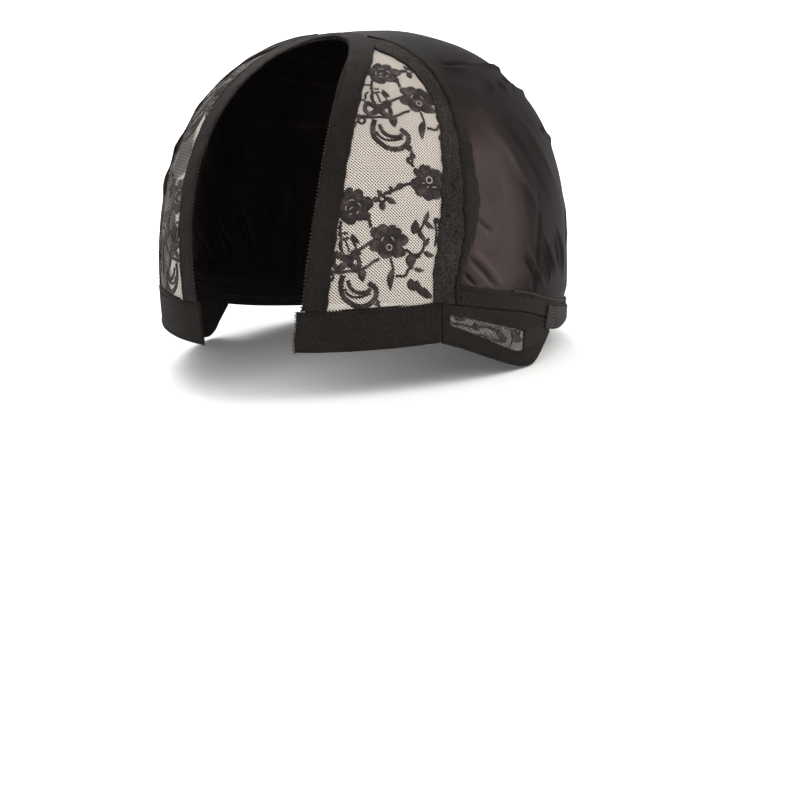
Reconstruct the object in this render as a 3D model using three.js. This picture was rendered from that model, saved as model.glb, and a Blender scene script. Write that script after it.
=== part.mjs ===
// Wig cap with an open parting slot over the forehead. Lace panels flank the slot, a stretch
// crown covers the back of the head, and elastic bands bind every edge.
// Millimetres. +Z is up and the wearer faces -Y, with their left side at +X.
// The origin is the inside of the crown top, where the cap sits on a head.
import * as THREE from 'three';

// The head form that the cap is stretched over, measured inside the cloth.
const headHalfWidth = 77;
const headHalfLength = 98;
const crownRise = 94; // from the widest level up to the crown top
const crownFullness = 2.44; // 2 is a plain ellipsoid, more has squarer shoulders
const rimTuck = 0.035; // share that the form has narrowed by at tuckDepth
const tuckDepth = 40; // below the widest level

// Cloth and elastic.
const clothWall = 1.0;
const bandWall = 1.0;
const strapWall = 1.4;
const layerGap = 0.3; // between a cloth and the band sewn on it
const buttGap = 0.3; // between the ends of two bands
const bandLift = clothWall + layerGap;
const strapLift = bandLift + bandWall + layerGap;

// The parting slot, from the front hem's lower edge back to the crown.
const slotLength = 155;
const slotWidth = 53.4; // where it is widest
const slotBandWidth = 9.5;

// Bands. Depths are measured down from the widest level of the form.
const frontHemWidth = 16;
const frontHemDepth = 17.3;
const frontHemOverhang = 1.6; // how far its raw ends reach into the slot
const backBandWidth = 7.5;
const strapWidth = 9.5;
const strapDrop = 2.5; // the strap's upper edge below the back band's upper edge
// The ear tab's binding, above its lace window and below it, at both ends of the window.
const tabHeadWidth = { front: 5.0, rear: 7.4 };
const tabHemWidth = { front: 9.6, rear: 6.2 };

// Bearings of the side seams, in degrees from the face, where 90 is the ear.
const archBearing = 53; // the arch band's front edge where it meets the front hem
const hemRearBearing = 55;
const hemCornerTurn = 0.6; // how far past the hem's rear end the arch band's foot stays level
const tabRearBearing = 99;
const strapStartBearing = 96;

// How far a band covers the raw edge of the cloth below it, and how near the cloth's folds come
// to the band.
const underlap = 4;
const foldClearance = 0.5;
const crownCorner = 1.6; // how much the crown's corner is cut off where the bands meet

// The slot's inner edge from the hem to the crown: its place as a share of slotLength, and its
// distance from the middle as a share of half slotWidth.
const slotOutline = [
  { along: 0.00, half: 0.80 },
  { along: 0.10, half: 0.86 },
  { along: 0.17, half: 0.91 },
  { along: 0.26, half: 0.96 },
  { along: 0.37, half: 1.00 },
  { along: 0.48, half: 0.99 },
  { along: 0.58, half: 0.94 },
  { along: 0.69, half: 0.84 },
  { along: 0.79, half: 0.71 },
  { along: 0.87, half: 0.59 },
  { along: 0.935, half: 0.42 },
  { along: 0.975, half: 0.25 },
  { along: 1.00, half: 0.00 },
];

// The arch band's front edge, from the front hem up to the slot band. Swing is added to
// archBearing, and rise is a share of crownRise.
const archFront = [
  { swing: 0.3, rise: 0.11 },
  { swing: 1.9, rise: 0.24 },
  { swing: 4.4, rise: 0.43 },
  { swing: 6.6, rise: 0.58 },
  { swing: 8.6, rise: 0.70 },
  { swing: 9.2, rise: 0.80 },
  { swing: 7.6, rise: 0.88 },
  { swing: 3.0, rise: 0.933 },
  { swing: -4.0, rise: 0.957 },
];

// The arch band's rear edge, from the back band up to the slot band.
const archFootTurn = 7.4; // how far it stands behind the front edge at its foot
const archRear = [
  { swing: 7.8, rise: 0.05 },
  { swing: 9.8, rise: 0.12 },
  { swing: 13.0, rise: 0.25 },
  { swing: 15.4, rise: 0.42 },
  { swing: 17.0, rise: 0.58 },
  { swing: 18.4, rise: 0.72 },
  { swing: 19.0, rise: 0.82 },
  { swing: 18.8, rise: 0.90 },
  { swing: 16.6, rise: 0.95 },
  { swing: 12.0, rise: 0.978 },
];

// Where the arch band's two edges run into the slot band, as shares of slotLength.
const archTip = { front: 0.935, rear: 0.985 };

// The back band's upper edge round the head: its drop below the widest level in shares of
// backDrop, which is the drop at the middle of the back.
const backDrop = 22;
const backEdge = [
  { bearing: 53, drop: -0.33 },
  { bearing: 60, drop: -0.20 },
  { bearing: 67, drop: -0.07 },
  { bearing: 75, drop: 0.06 },
  { bearing: 86, drop: 0.25 },
  { bearing: 95, drop: 0.46 },
  { bearing: 106, drop: 0.66 },
  { bearing: 122, drop: 0.84 },
  { bearing: 145, drop: 0.95 },
  { bearing: 180, drop: 1.00 },
];

// The ear tab's lower edge, from the front hem to the foot of its rear edge. Drop is in shares of
// tabDepth, below the widest level, and turn in shares of the way to tabRearBearing.
const tabDepth = 35.5;
const tabLowerEdge = [
  { turn: 0.00, drop: 0.50 },
  { turn: 0.12, drop: 0.585 },
  { turn: 0.34, drop: 0.76 },
  { turn: 0.54, drop: 0.91 },
  { turn: 0.66, drop: 0.975 },
  { turn: 0.76, drop: 1.00 },
  { turn: 0.83, drop: 0.965 },
  { turn: 0.90, drop: 0.86 },
  { turn: 1.00, drop: 0.70 },
];

// The lace window in the ear tab, from front to rear as shares of the tab's turn.
const tabWindow = { front: 0.075, rear: 0.64 };
const tabLaceMargin = 1.4; // how far the lace runs on behind the binding

// Folds of the stretch crown, on each side. Bearing and turn are in degrees, with turn the lean
// from upright, and rise is a share of crownRise. How far a fold runs, how broad it is and how
// high it stands are shares of the three sizes above the table.
const foldRun = 24;
const foldBreadth = 4.8;
const foldStand = 2.0;
const crownFolds = [
  { bearing: 67, rise: 0.17, turn: -38, run: 0.65, breadth: 0.95, stand: 0.85 },
  { bearing: 71, rise: 0.23, turn: -40, run: 0.85, breadth: 1.05, stand: 1.00 },
  { bearing: 77, rise: 0.28, turn: -36, run: 0.75, breadth: 1.05, stand: -0.80 },
  { bearing: 86, rise: 0.26, turn: -14, run: 1.00, breadth: 0.95, stand: 0.85 },
  { bearing: 94, rise: 0.22, turn: -9, run: 1.10, breadth: 0.95, stand: 1.00 },
  { bearing: 102, rise: 0.20, turn: -6, run: 1.10, breadth: 1.00, stand: 0.95 },
  { bearing: 82, rise: 0.86, turn: 70, run: 0.65, breadth: 1.25, stand: -0.70 },
  { bearing: 112, rise: 0.83, turn: 80, run: 0.85, breadth: 1.45, stand: -1.00 },
  { bearing: 118, rise: 0.935, turn: 84, run: 1.85, breadth: 4.20, stand: -1.30 },
  { bearing: 150, rise: 0.80, turn: 86, run: 1.25, breadth: 1.45, stand: -0.80 },
];

// Gathers all round the back, where the crown is eased onto the back band.
const gatherPitch = 19;
const gatherHeight = 1.6;
const gatherFade = 24; // height above the band over which they die out

// Colours and surfaces.
const blackElastic = new THREE.MeshStandardMaterial({ color: 0x211f1f, roughness: 0.9 });
const stretchCloth = new THREE.MeshStandardMaterial({ color: 0x3a3432, roughness: 0.6 });
const laceCloth = new THREE.MeshStandardMaterial({ color: 0x57504c, roughness: 0.85 });

const centre = new THREE.Vector3(0, 0, -crownRise);
const toRadians = THREE.MathUtils.degToRad;

// Moves a point straight out from or in to the centre until it lies on the form.
function seat(point) {
  const ray = point.clone().sub(centre);
  const girth = Math.hypot(ray.x / headHalfWidth, ray.y / headHalfLength);
  if (ray.z >= 0) {
    const height = ray.z / crownRise;
    const reach = (girth ** crownFullness + height ** crownFullness) ** (1 / crownFullness);
    return ray.divideScalar(reach).add(centre);
  }
  const tuck = rimTuck * (ray.z / tuckDepth) ** 2;
  return ray.multiplyScalar(2 / (girth + Math.sqrt(girth ** 2 + 4 * tuck))).add(centre);
}

// The form's unit normal at a point on it.
function outward(point) {
  const ray = point.clone().sub(centre);
  const across = ray.x / headHalfWidth ** 2;
  const along = ray.y / headHalfLength ** 2;
  if (ray.z >= 0) {
    const girth = Math.hypot(ray.x / headHalfWidth, ray.y / headHalfLength);
    const squareness = girth ** (crownFullness - 2);
    const up = (ray.z / crownRise) ** (crownFullness - 1) / crownRise;
    return new THREE.Vector3(across * squareness, along * squareness, up).normalize();
  }
  const narrowing = 1 - rimTuck * (ray.z / tuckDepth) ** 2;
  const slope = -2 * rimTuck * ray.z / tuckDepth ** 2;
  return new THREE.Vector3(across, along, -slope * narrowing).normalize();
}

// The point on the form at a bearing from the face and a height above the widest level.
function atBearing(bearing, height) {
  const turn = toRadians(bearing);
  const girth = height >= 0
    ? (1 - (height / crownRise) ** crownFullness) ** (1 / crownFullness)
    : 1 - rimTuck * (height / tuckDepth) ** 2;
  return new THREE.Vector3(
    headHalfWidth * girth * Math.sin(turn),
    -headHalfLength * girth * Math.cos(turn),
    height - crownRise,
  );
}

// The middle line of the form from below the forehead over the crown, with its running length
// measured from the front hem's lower edge.
const profile = [];
for (let angle = -24; angle <= 120; angle += 0.5) {
  const way = new THREE.Vector3(0, -Math.cos(toRadians(angle)), Math.sin(toRadians(angle)));
  const point = seat(way.multiplyScalar(crownRise).add(centre));
  const last = profile[profile.length - 1];
  profile.push({ point, length: last ? last.length + last.point.distanceTo(point) : 0 });
}
const hemStart = profile.find(({ point }) => point.z > -crownRise - frontHemDepth).length;

// The point on the form at a length along the middle line and a distance to the side of it.
function besideMiddle(length, side) {
  const wanted = hemStart + length;
  const next = profile.findIndex((step) => step.length > wanted);
  const before = profile[next - 1];
  const share = (wanted - before.length) / (profile[next].length - before.length);
  const middle = before.point.clone().lerp(profile[next].point, share).sub(centre);
  let low = 0;
  let high = 1;
  for (let step = 0; step < 30; step += 1) {
    const scale = (low + high) / 2;
    const trial = new THREE.Vector3(side, middle.y * scale, middle.z * scale).add(centre);
    if (seat(trial).distanceTo(centre) > trial.distanceTo(centre)) {
      low = scale;
    } else {
      high = scale;
    }
  }
  return new THREE.Vector3(side, middle.y * low, middle.z * low).add(centre);
}

function smoothEdge(points) {
  return new THREE.CatmullRomCurve3(points, false, 'centripetal');
}

// A point at a share of an edge's length, moved sideways over the form.
function beside(edge, share, distance) {
  const point = seat(edge.getPointAt(share));
  const side = edge.getTangentAt(share).cross(outward(point)).normalize();
  return seat(point.addScaledVector(side, distance));
}

// The point on the form at a share of the way from one point on it to another.
function between(from, to, share) {
  const start = from.clone().sub(centre).normalize();
  const end = to.clone().sub(centre).normalize();
  const angle = start.angleTo(end);
  start.multiplyScalar(Math.sin((1 - share) * angle));
  return seat(start.addScaledVector(end, Math.sin(share * angle)).add(centre));
}

function mirrored(point) {
  return new THREE.Vector3(-point.x, point.y, point.z);
}

// Rows of points on the form, count steps long and across steps wide.
function gridOf(count, across, pointAt) {
  return Array.from({ length: count + 1 }, (_, i) => (
    Array.from({ length: across + 1 }, (_, j) => pointAt(i / count, j / across))
  ));
}

// A closed solid of even wall over a grid of points: its inner face stands lift above the form.
// A cell that pierced accepts has a diamond gap through it, and a ring joins its last row to its
// first.
function clothSolid(grid, wall, lift, { pierced = () => false, gapShare = 0.62, ring = false } = {}) {
  const vertices = [];
  const triangles = [];
  const heightAt = typeof lift === 'function' ? lift : () => lift;
  function addColumn(point, height) {
    const normal = outward(point);
    const inner = point.clone().addScaledVector(normal, height);
    const outer = point.clone().addScaledVector(normal, height + wall);
    vertices.push(outer, inner);
    return vertices.length - 2;
  }
  const ids = grid.map((row) => row.map((point) => addColumn(point, heightAt(point))));
  const rows = ring ? grid.length : grid.length - 1;
  const across = grid[0].length - 1;
  const next = (i) => (i + 1) % grid.length;
  const turn = grid[1][0].clone().sub(grid[0][0]);
  const flipped = turn.cross(grid[0][1].clone().sub(grid[0][0])).dot(outward(grid[0][0])) < 0;
  function face(a, b, c) {
    triangles.push(flipped ? [a, c, b] : [a, b, c]);
    triangles.push(flipped ? [a + 1, b + 1, c + 1] : [a + 1, c + 1, b + 1]);
  }
  function wallAlong(a, b) {
    triangles.push(flipped ? [a, b, b + 1] : [a, b + 1, b]);
    triangles.push(flipped ? [a, b + 1, a + 1] : [a, a + 1, b + 1]);
  }
  for (let i = 0; i < rows; i += 1) {
    for (let j = 0; j < across; j += 1) {
      const corners = [[i, j], [next(i), j], [next(i), j + 1], [i, j + 1]];
      const [a, b, c, d] = corners.map(([row, column]) => ids[row][column]);
      if (pierced(i, j)) {
        const points = corners.map(([row, column]) => grid[row][column]);
        const middle = points.reduce((sum, point) => sum.add(point), new THREE.Vector3());
        middle.divideScalar(points.length);
        const gap = points.map((point, k) => {
          const edgeMiddle = point.clone().lerp(points[(k + 1) % 4], 0.5);
          const place = seat(middle.clone().lerp(edgeMiddle, gapShare));
          return addColumn(place, heightAt(place));
        });
        [a, b, c, d].forEach((corner, k, all) => {
          face(corner, all[(k + 1) % 4], gap[k]);
          face(corner, gap[k], gap[(k + 3) % 4]);
          wallAlong(gap[k], gap[(k + 3) % 4]);
        });
      } else {
        face(a, b, c);
        face(a, c, d);
      }
    }
    wallAlong(ids[i][0], ids[next(i)][0]);
    wallAlong(ids[next(i)][across], ids[i][across]);
  }
  if (!ring) {
    for (let j = 0; j < across; j += 1) {
      wallAlong(ids[0][j + 1], ids[0][j]);
      wallAlong(ids[rows][j], ids[rows][j + 1]);
    }
  }
  const geometry = new THREE.BufferGeometry().setFromPoints(vertices);
  geometry.setIndex(triangles.flat());
  geometry.computeVertexNormals();
  return geometry;
}

const cap = new THREE.Group();

function addPiece(name, geometry, material) {
  const piece = new THREE.Mesh(geometry, material);
  piece.name = name;
  cap.add(piece);
}

// Adds a piece on the wearer's left and its mirror image on the right.
function addPair(name, grid, wall, lift, material, options) {
  addPiece(`${name}_left`, clothSolid(grid, wall, lift, options), material);
  const other = grid.map((row) => row.map(mirrored));
  addPiece(`${name}_right`, clothSolid(other, wall, lift, options), material);
}

// The slot's inner edge, up the left side, round the crown end and down the right side.
const leftSlotPoints = slotOutline.map(({ along, half }) => (
  besideMiddle(along * slotLength, half * slotWidth / 2)
));
const slotEdge = smoothEdge([
  ...leftSlotPoints,
  ...leftSlotPoints.slice(0, -1).reverse().map(mirrored),
]);

// How far round a point lies from the face, over the crown, seen from the side.
function elevation(point) {
  return Math.atan2(point.z - centre.z, -point.y);
}

// The share of the slot edge that lies beside a length of the middle line.
function slotShareAt(length) {
  const wanted = elevation(besideMiddle(length, 0));
  let low = 0;
  let high = 0.5;
  for (let step = 0; step < 30; step += 1) {
    const share = (low + high) / 2;
    if (elevation(slotEdge.getPointAt(share)) < wanted) {
      low = share;
    } else {
      high = share;
    }
  }
  return low;
}

// The back band's upper edge, from the left arch band round the back to the right one.
const backPoints = backEdge.map(({ bearing, drop }) => atBearing(bearing, -drop * backDrop));
const backBandEdge = smoothEdge([
  ...backPoints,
  ...backPoints.slice(0, -1).reverse().map(mirrored),
]);

function bearingOf(point) {
  const turn = Math.atan2(point.x / headHalfWidth, -point.y / headHalfLength);
  return (THREE.MathUtils.radToDeg(turn) + 360) % 360;
}

// The share of an edge round the back at a bearing on the wearer's left.
function shareAtBearing(edge, bearing) {
  let low = 0;
  let high = 0.5;
  for (let step = 0; step < 30; step += 1) {
    const share = (low + high) / 2;
    if (bearingOf(edge.getPointAt(share)) < bearing) {
      low = share;
    } else {
      high = share;
    }
  }
  return low;
}

// The line that runs a distance below the back band's upper edge all the way round.
function lineBelowBackEdge(distance) {
  const samples = 48;
  return smoothEdge(Array.from({ length: samples + 1 }, (_, k) => (
    beside(backBandEdge, k / samples, distance)
  )));
}

// Its height above the widest level at a bearing.
function heightAtBearing(edge, bearing) {
  return edge.getPointAt(shareAtBearing(edge, bearing)).z - centre.z;
}

const frontHemTop = frontHemWidth - frontHemDepth; // above the widest level
const archRearBearing = archBearing + archFootTurn;
const backBandFoot = lineBelowBackEdge(backBandWidth);
const tabHeadLine = lineBelowBackEdge(backBandWidth + buttGap);
const archPoint = ({ swing, rise }) => atBearing(archBearing + swing, rise * crownRise);
const tipShareFront = slotShareAt(archTip.front * slotLength);
const tipShareRear = slotShareAt(archTip.rear * slotLength);
const slotOuter = (share) => beside(slotEdge, share, slotBandWidth + buttGap);

const archFrontEdge = smoothEdge([
  atBearing(archBearing, frontHemTop + buttGap),
  ...archFront.map(archPoint),
  slotOuter(tipShareFront),
]);
const archRearEdge = smoothEdge([
  atBearing(archRearBearing, heightAtBearing(backBandFoot, archRearBearing)),
  ...archRear.map(archPoint),
  slotOuter(tipShareRear),
]);

// The share of the arch band's rear edge at a height above the widest level.
function archRearShareAt(height) {
  let share = 0;
  while (archRearEdge.getPointAt(share).z - centre.z < height) {
    share += 0.0005;
  }
  return share;
}

// The arch band's lower end sits on the front hem, and behind it on the ear tab.
function archFoot(across) {
  const bearing = archBearing + across * archFootTurn;
  const onHem = frontHemTop + buttGap;
  if (bearing < hemRearBearing + hemCornerTurn) {
    return atBearing(bearing, onHem);
  }
  return atBearing(bearing, Math.min(onHem, heightAtBearing(backBandFoot, bearing)));
}

function makeSlotBand() {
  const foot = slotShareAt(frontHemWidth + buttGap);
  const grid = gridOf(54, 2, (share, across) => {
    const point = beside(slotEdge, foot + share * (1 - 2 * foot), across * slotBandWidth);
    const isEnd = share === 0 || share === 1;
    return isEnd ? atBearing(bearingOf(point), frontHemTop + buttGap) : point;
  });
  addPiece('slot_band', clothSolid(grid, bandWall, bandLift), blackElastic);
}

function makeArchBands() {
  const endShare = 0.25; // of the band's length, over which its ends take their neighbours' lines
  const head = (across) => slotOuter(THREE.MathUtils.lerp(tipShareFront, tipShareRear, across));
  const line = (share, across) => between(
    archFrontEdge.getPointAt(share),
    archRearEdge.getPointAt(share),
    across,
  );
  const grid = gridOf(22, 3, (share, across) => {
    const point = line(share, across);
    const nearFoot = Math.max(0, 1 - share / endShare) ** 2;
    const nearHead = Math.max(0, 1 - (1 - share) / endShare) ** 2;
    point.addScaledVector(archFoot(across).sub(line(0, across)), nearFoot);
    point.addScaledVector(head(across).sub(line(1, across)), nearHead);
    return seat(point);
  });
  addPair('arch_band', grid, bandWall, bandLift, blackElastic);
}

// Lace between the slot band, the arch band and the front hem, with its edges below all three.
function makeLacePanels() {
  const footHeight = frontHemTop - underlap;
  const rearFoot = atBearing(hemRearBearing, footHeight);
  const samples = 9;
  const rearPoints = Array.from({ length: samples }, (_, k) => (
    beside(archFrontEdge, (k + 0.5) / (samples - 0.5), underlap)
  ));
  const rear = smoothEdge([rearFoot, ...rearPoints]);
  const footShare = slotShareAt(frontHemWidth - underlap);
  const rows = 14;
  const columns = 4;
  const grid = gridOf(rows, columns, (share, across) => {
    const slotShare = THREE.MathUtils.lerp(footShare, tipShareFront, share);
    const front = beside(slotEdge, slotShare, slotBandWidth - underlap);
    return between(front, rear.getPointAt(share), across);
  });
  const pierced = (i) => i < rows - 2;
  addPair('lace_panel', grid, clothWall, 0, laceCloth, { pierced });
}

function makeFrontHems() {
  const grid = gridOf(12, 2, (share, across) => {
    const length = across * frontHemWidth;
    const start = beside(slotEdge, slotShareAt(length), -frontHemOverhang);
    const bearing = THREE.MathUtils.lerp(bearingOf(start), hemRearBearing, share);
    return atBearing(bearing, length - frontHemDepth);
  });
  addPair('front_hem', grid, bandWall, bandLift, blackElastic);
}

// The back band's ends follow the arch bands' rear edges.
function makeBackBand() {
  const foot = shareAtBearing(backBandEdge, archRearBearing);
  const highEnd = heightAtBearing(backBandEdge, archRearBearing);
  const lowEnd = heightAtBearing(backBandFoot, archRearBearing);
  function leftEnd(across) {
    const height = THREE.MathUtils.lerp(highEnd, lowEnd, across);
    return beside(archRearEdge, archRearShareAt(height), buttGap);
  }
  const grid = gridOf(56, 1, (share, across) => {
    if (share === 0) {
      return leftEnd(across);
    }
    if (share === 1) {
      return mirrored(leftEnd(across));
    }
    return beside(backBandEdge, foot + share * (1 - 2 * foot), across * backBandWidth);
  });
  addPiece('back_band', clothSolid(grid, bandWall, bandLift), blackElastic);
}

// How high one fold stands at a point of the crown.
function foldHeight(point, { bearing, rise, turn, run, breadth, stand }) {
  const foldCentre = atBearing(bearing, rise * crownRise);
  const normal = outward(foldCentre);
  const upright = new THREE.Vector3(0, 0, 1).projectOnPlane(normal).normalize();
  const across = upright.applyAxisAngle(normal, toRadians(turn)).cross(normal);
  const away = point.clone().sub(foldCentre);
  const acrossSquared = away.dot(across) ** 2;
  const alongSquared = away.lengthSq() - acrossSquared;
  const narrow = acrossSquared / (breadth * foldBreadth) ** 2;
  const long = alongSquared / (run * foldRun) ** 2;
  return stand * foldStand * Math.exp(-narrow - long);
}

function gatherHeightAt(point) {
  const bearing = bearingOf(point);
  const fromFront = Math.min(bearing, 360 - bearing);
  const eased = THREE.MathUtils.smoothstep(fromFront, tabRearBearing, tabRearBearing + 15);
  const bandTop = heightAtBearing(backBandEdge, fromFront);
  const above = Math.max(0, point.z - centre.z - bandTop);
  const length = toRadians(fromFront) * (headHalfWidth + headHalfLength) / 2;
  const wave = (1 - Math.cos(2 * Math.PI * length / gatherPitch)) / 2;
  return gatherHeight * wave * eased * Math.exp(-above / gatherFade);
}

// The stretch crown, from below the arch bands and the slot band's crown end to below the back
// band. Its folds keep clear of the bands.
function makeCrown() {
  const samples = 10;
  const cornerHeight = heightAtBearing(backBandEdge, archRearBearing) + crownCorner;
  const footShare = archRearShareAt(cornerHeight);
  function frontLine(distance) {
    const points = Array.from({ length: samples }, (_, k) => (
      beside(archRearEdge, THREE.MathUtils.lerp(footShare, 0.96, k / (samples - 1)), distance)
    ));
    const middle = beside(slotEdge, 0.5, slotBandWidth + distance);
    return smoothEdge([...points, middle, ...points.reverse().map(mirrored)]);
  }
  const backFoot = shareAtBearing(backBandEdge, archRearBearing)
    + crownCorner / backBandEdge.getLength();
  const backLine = (share, distance) => (
    beside(backBandEdge, backFoot + share * (1 - 2 * backFoot), distance)
  );
  const hiddenFront = frontLine(-underlap);
  const seenFront = frontLine(foldClearance);
  const columns = 62;
  const rows = 17;
  const crowding = 0.35; // how much closer the columns stand at the sides than at the back
  const grid = Array.from({ length: columns + 1 }, (_, i) => {
    const turn = 2 * Math.PI * i / columns;
    const share = (turn - crowding * Math.sin(turn)) / (2 * Math.PI);
    const front = seenFront.getPointAt(share);
    const back = backLine(share, -foldClearance);
    const seen = Array.from({ length: rows + 1 }, (_, j) => between(front, back, j / rows));
    return [seat(hiddenFront.getPointAt(share)), ...seen, backLine(share, underlap)];
  });
  const folded = new Set(grid.slice(2, -2).flatMap((row) => row.slice(2, -2)));
  const lift = (point) => {
    if (!folded.has(point)) {
      return 0;
    }
    const onLeft = new THREE.Vector3(Math.abs(point.x), point.y, point.z);
    const folds = crownFolds.reduce((sum, fold) => sum + foldHeight(onLeft, fold), 0);
    return folds + gatherHeightAt(point);
  };
  addPiece('crown', clothSolid(grid, clothWall, lift), stretchCloth);
}

// The ear tab's outline: heights above the widest level at a share of its turn.
const tabFrontBearing = hemRearBearing + 0.3;
const tabBearing = (turn) => THREE.MathUtils.lerp(tabFrontBearing, tabRearBearing, turn);
const tabLower = smoothEdge(tabLowerEdge.map(({ turn, drop }) => (
  new THREE.Vector3(turn, -drop, 0)
)));
function tabLines(turn) {
  const head = heightAtBearing(tabHeadLine, tabBearing(turn));
  let low = 0;
  let high = 1;
  for (let step = 0; step < 30; step += 1) {
    const share = (low + high) / 2;
    if (tabLower.getPoint(share).x < turn) {
      low = share;
    } else {
      high = share;
    }
  }
  const foot = tabLower.getPoint(low).y * tabDepth;
  const along = THREE.MathUtils.smoothstep(turn, tabWindow.front, tabWindow.rear);
  const headWidth = THREE.MathUtils.lerp(tabHeadWidth.front, tabHeadWidth.rear, along);
  const hemWidth = THREE.MathUtils.lerp(tabHemWidth.front, tabHemWidth.rear, along);
  return { head, windowHead: head - headWidth, windowFoot: foot + hemWidth, foot };
}

// The binding is a closed ring round the window: along its head, down the rear, back along the
// foot and up the front.
function makeEarTabs() {
  const alongSteps = 12;
  const downSteps = 3;
  const steps = [
    ...Array.from({ length: alongSteps }, (_, k) => ({ turn: k / alongSteps, down: 0 })),
    ...Array.from({ length: downSteps }, (_, k) => ({ turn: 1, down: k / downSteps })),
    ...Array.from({ length: alongSteps }, (_, k) => ({ turn: 1 - k / alongSteps, down: 1 })),
    ...Array.from({ length: downSteps }, (_, k) => ({ turn: 0, down: 1 - k / downSteps })),
  ];
  const binding = steps.map(({ turn, down }) => {
    const rim = tabLines(turn);
    const windowTurn = THREE.MathUtils.lerp(tabWindow.front, tabWindow.rear, turn);
    const edge = tabLines(windowTurn);
    const inner = THREE.MathUtils.lerp(edge.windowHead, edge.windowFoot, down);
    const outer = THREE.MathUtils.lerp(rim.head, rim.foot, down);
    const windowPoint = atBearing(tabBearing(windowTurn), inner);
    const rimPoint = atBearing(tabBearing(turn), outer);
    return [rimPoint, between(rimPoint, windowPoint, 0.5), windowPoint];
  });
  addPair('ear_tab_binding', binding, bandWall, bandLift, blackElastic, { ring: true });

  const margin = tabLaceMargin / (toRadians(1) * headHalfWidth);
  const lace = gridOf(6, 2, (share, down) => {
    const turn = THREE.MathUtils.lerp(tabWindow.front, tabWindow.rear, share);
    const { windowHead, windowFoot } = tabLines(turn);
    const bearing = tabBearing(turn) + (share - 0.5) * 2 * margin;
    const height = THREE.MathUtils.lerp(windowHead + tabLaceMargin, windowFoot - tabLaceMargin, down);
    return atBearing(bearing, height);
  });
  const pierced = (i, j) => i < 5 && (i + j) % 2 === 0;
  addPair('ear_tab_lace', lace, clothWall, 0, laceCloth, { pierced });
}

// The elastic strap that draws the cap in, from one ear tab round the back to the other.
function makeStrap() {
  const start = shareAtBearing(backBandEdge, strapStartBearing);
  const grid = gridOf(36, 1, (share, across) => (
    beside(backBandEdge, start + share * (1 - 2 * start), strapDrop + across * strapWidth)
  ));
  addPiece('nape_strap', clothSolid(grid, strapWall, strapLift), blackElastic);
}

makeCrown();
makeLacePanels();
makeEarTabs();
makeSlotBand();
makeArchBands();
makeFrontHems();
makeBackBand();
makeStrap();

export default cap;
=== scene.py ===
# %% [markdown]
# A wig cap is a close cap of elastic, lace and stretch cloth. This one has an open slot over the
# forehead, so that hair can be drawn through as a parting. This lesson dresses the plain solids
# of the part: each cloth piece is laid on the same head form, and fine things such as the net
# and the stitches are grown on it with Geometry Nodes.

# %% Load the frame
import math

import bpy
import numpy as np
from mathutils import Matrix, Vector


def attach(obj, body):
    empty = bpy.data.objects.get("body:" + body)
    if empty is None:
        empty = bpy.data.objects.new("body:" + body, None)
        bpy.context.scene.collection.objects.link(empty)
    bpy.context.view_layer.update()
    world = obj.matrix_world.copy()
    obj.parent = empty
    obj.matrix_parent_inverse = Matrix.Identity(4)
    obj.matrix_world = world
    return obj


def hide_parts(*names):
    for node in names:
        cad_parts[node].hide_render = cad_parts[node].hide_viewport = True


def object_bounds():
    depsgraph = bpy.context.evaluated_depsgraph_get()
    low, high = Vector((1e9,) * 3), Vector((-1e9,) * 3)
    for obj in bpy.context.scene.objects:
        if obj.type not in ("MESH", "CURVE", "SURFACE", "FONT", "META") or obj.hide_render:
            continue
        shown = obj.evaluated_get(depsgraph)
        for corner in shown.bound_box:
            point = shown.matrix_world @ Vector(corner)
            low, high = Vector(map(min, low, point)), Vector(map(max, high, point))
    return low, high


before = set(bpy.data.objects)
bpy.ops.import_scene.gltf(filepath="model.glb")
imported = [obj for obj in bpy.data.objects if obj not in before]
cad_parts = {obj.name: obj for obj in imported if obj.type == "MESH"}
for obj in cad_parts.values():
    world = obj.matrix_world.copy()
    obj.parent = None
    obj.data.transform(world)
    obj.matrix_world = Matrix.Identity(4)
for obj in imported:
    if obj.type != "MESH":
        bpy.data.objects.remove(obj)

MM = 0.001
scene = bpy.context.scene
cad_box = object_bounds()
print("CAD box in metres:", [round(value, 4) for corner in cad_box for value in corner])

# %% [markdown]
# Every piece lies on one smooth head form. It is an ellipse from above, a fuller curve than an
# ellipse from the side, and it narrows a little below its widest level. Writing it as a formula
# means that a point can be moved on to it, or away from it, wherever a band or a stitch needs to
# lie. Sizes are in millimetres here, and become metres when a mesh is made.

# %% The head form
half_width = 77.0
half_length = 98.0
crown_rise = 94.0
fullness = 2.44
rim_tuck = 0.035
tuck_depth = 40.0
far_side_tuck = 1.5  # the right side hugs the head a little closer, as in the photograph
centre = np.array([0.0, 0.0, -crown_rise])


def side_width(x):
    """The form's half width on the side where x lies."""
    return np.where(np.asarray(x) < 0, half_width - far_side_tuck, half_width)


def seat(points):
    """Points moved straight out from or in to the centre until they lie on the form."""
    ray = np.asarray(points, float) - centre
    girth = np.hypot(ray[..., 0] / side_width(ray[..., 0]), ray[..., 1] / half_length)
    up = np.maximum(ray[..., 2], 0) / crown_rise
    reach = np.maximum((girth**fullness + up**fullness) ** (1 / fullness), 1e-9)
    tuck = rim_tuck * (np.minimum(ray[..., 2], 0) / tuck_depth) ** 2
    below = 2 / np.maximum(girth + np.sqrt(girth**2 + 4 * tuck), 1e-9)
    return ray * np.where(ray[..., 2] >= 0, 1 / reach, below)[..., None] + centre


def unit(vectors):
    return vectors / np.linalg.norm(vectors, axis=-1, keepdims=True)


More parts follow.
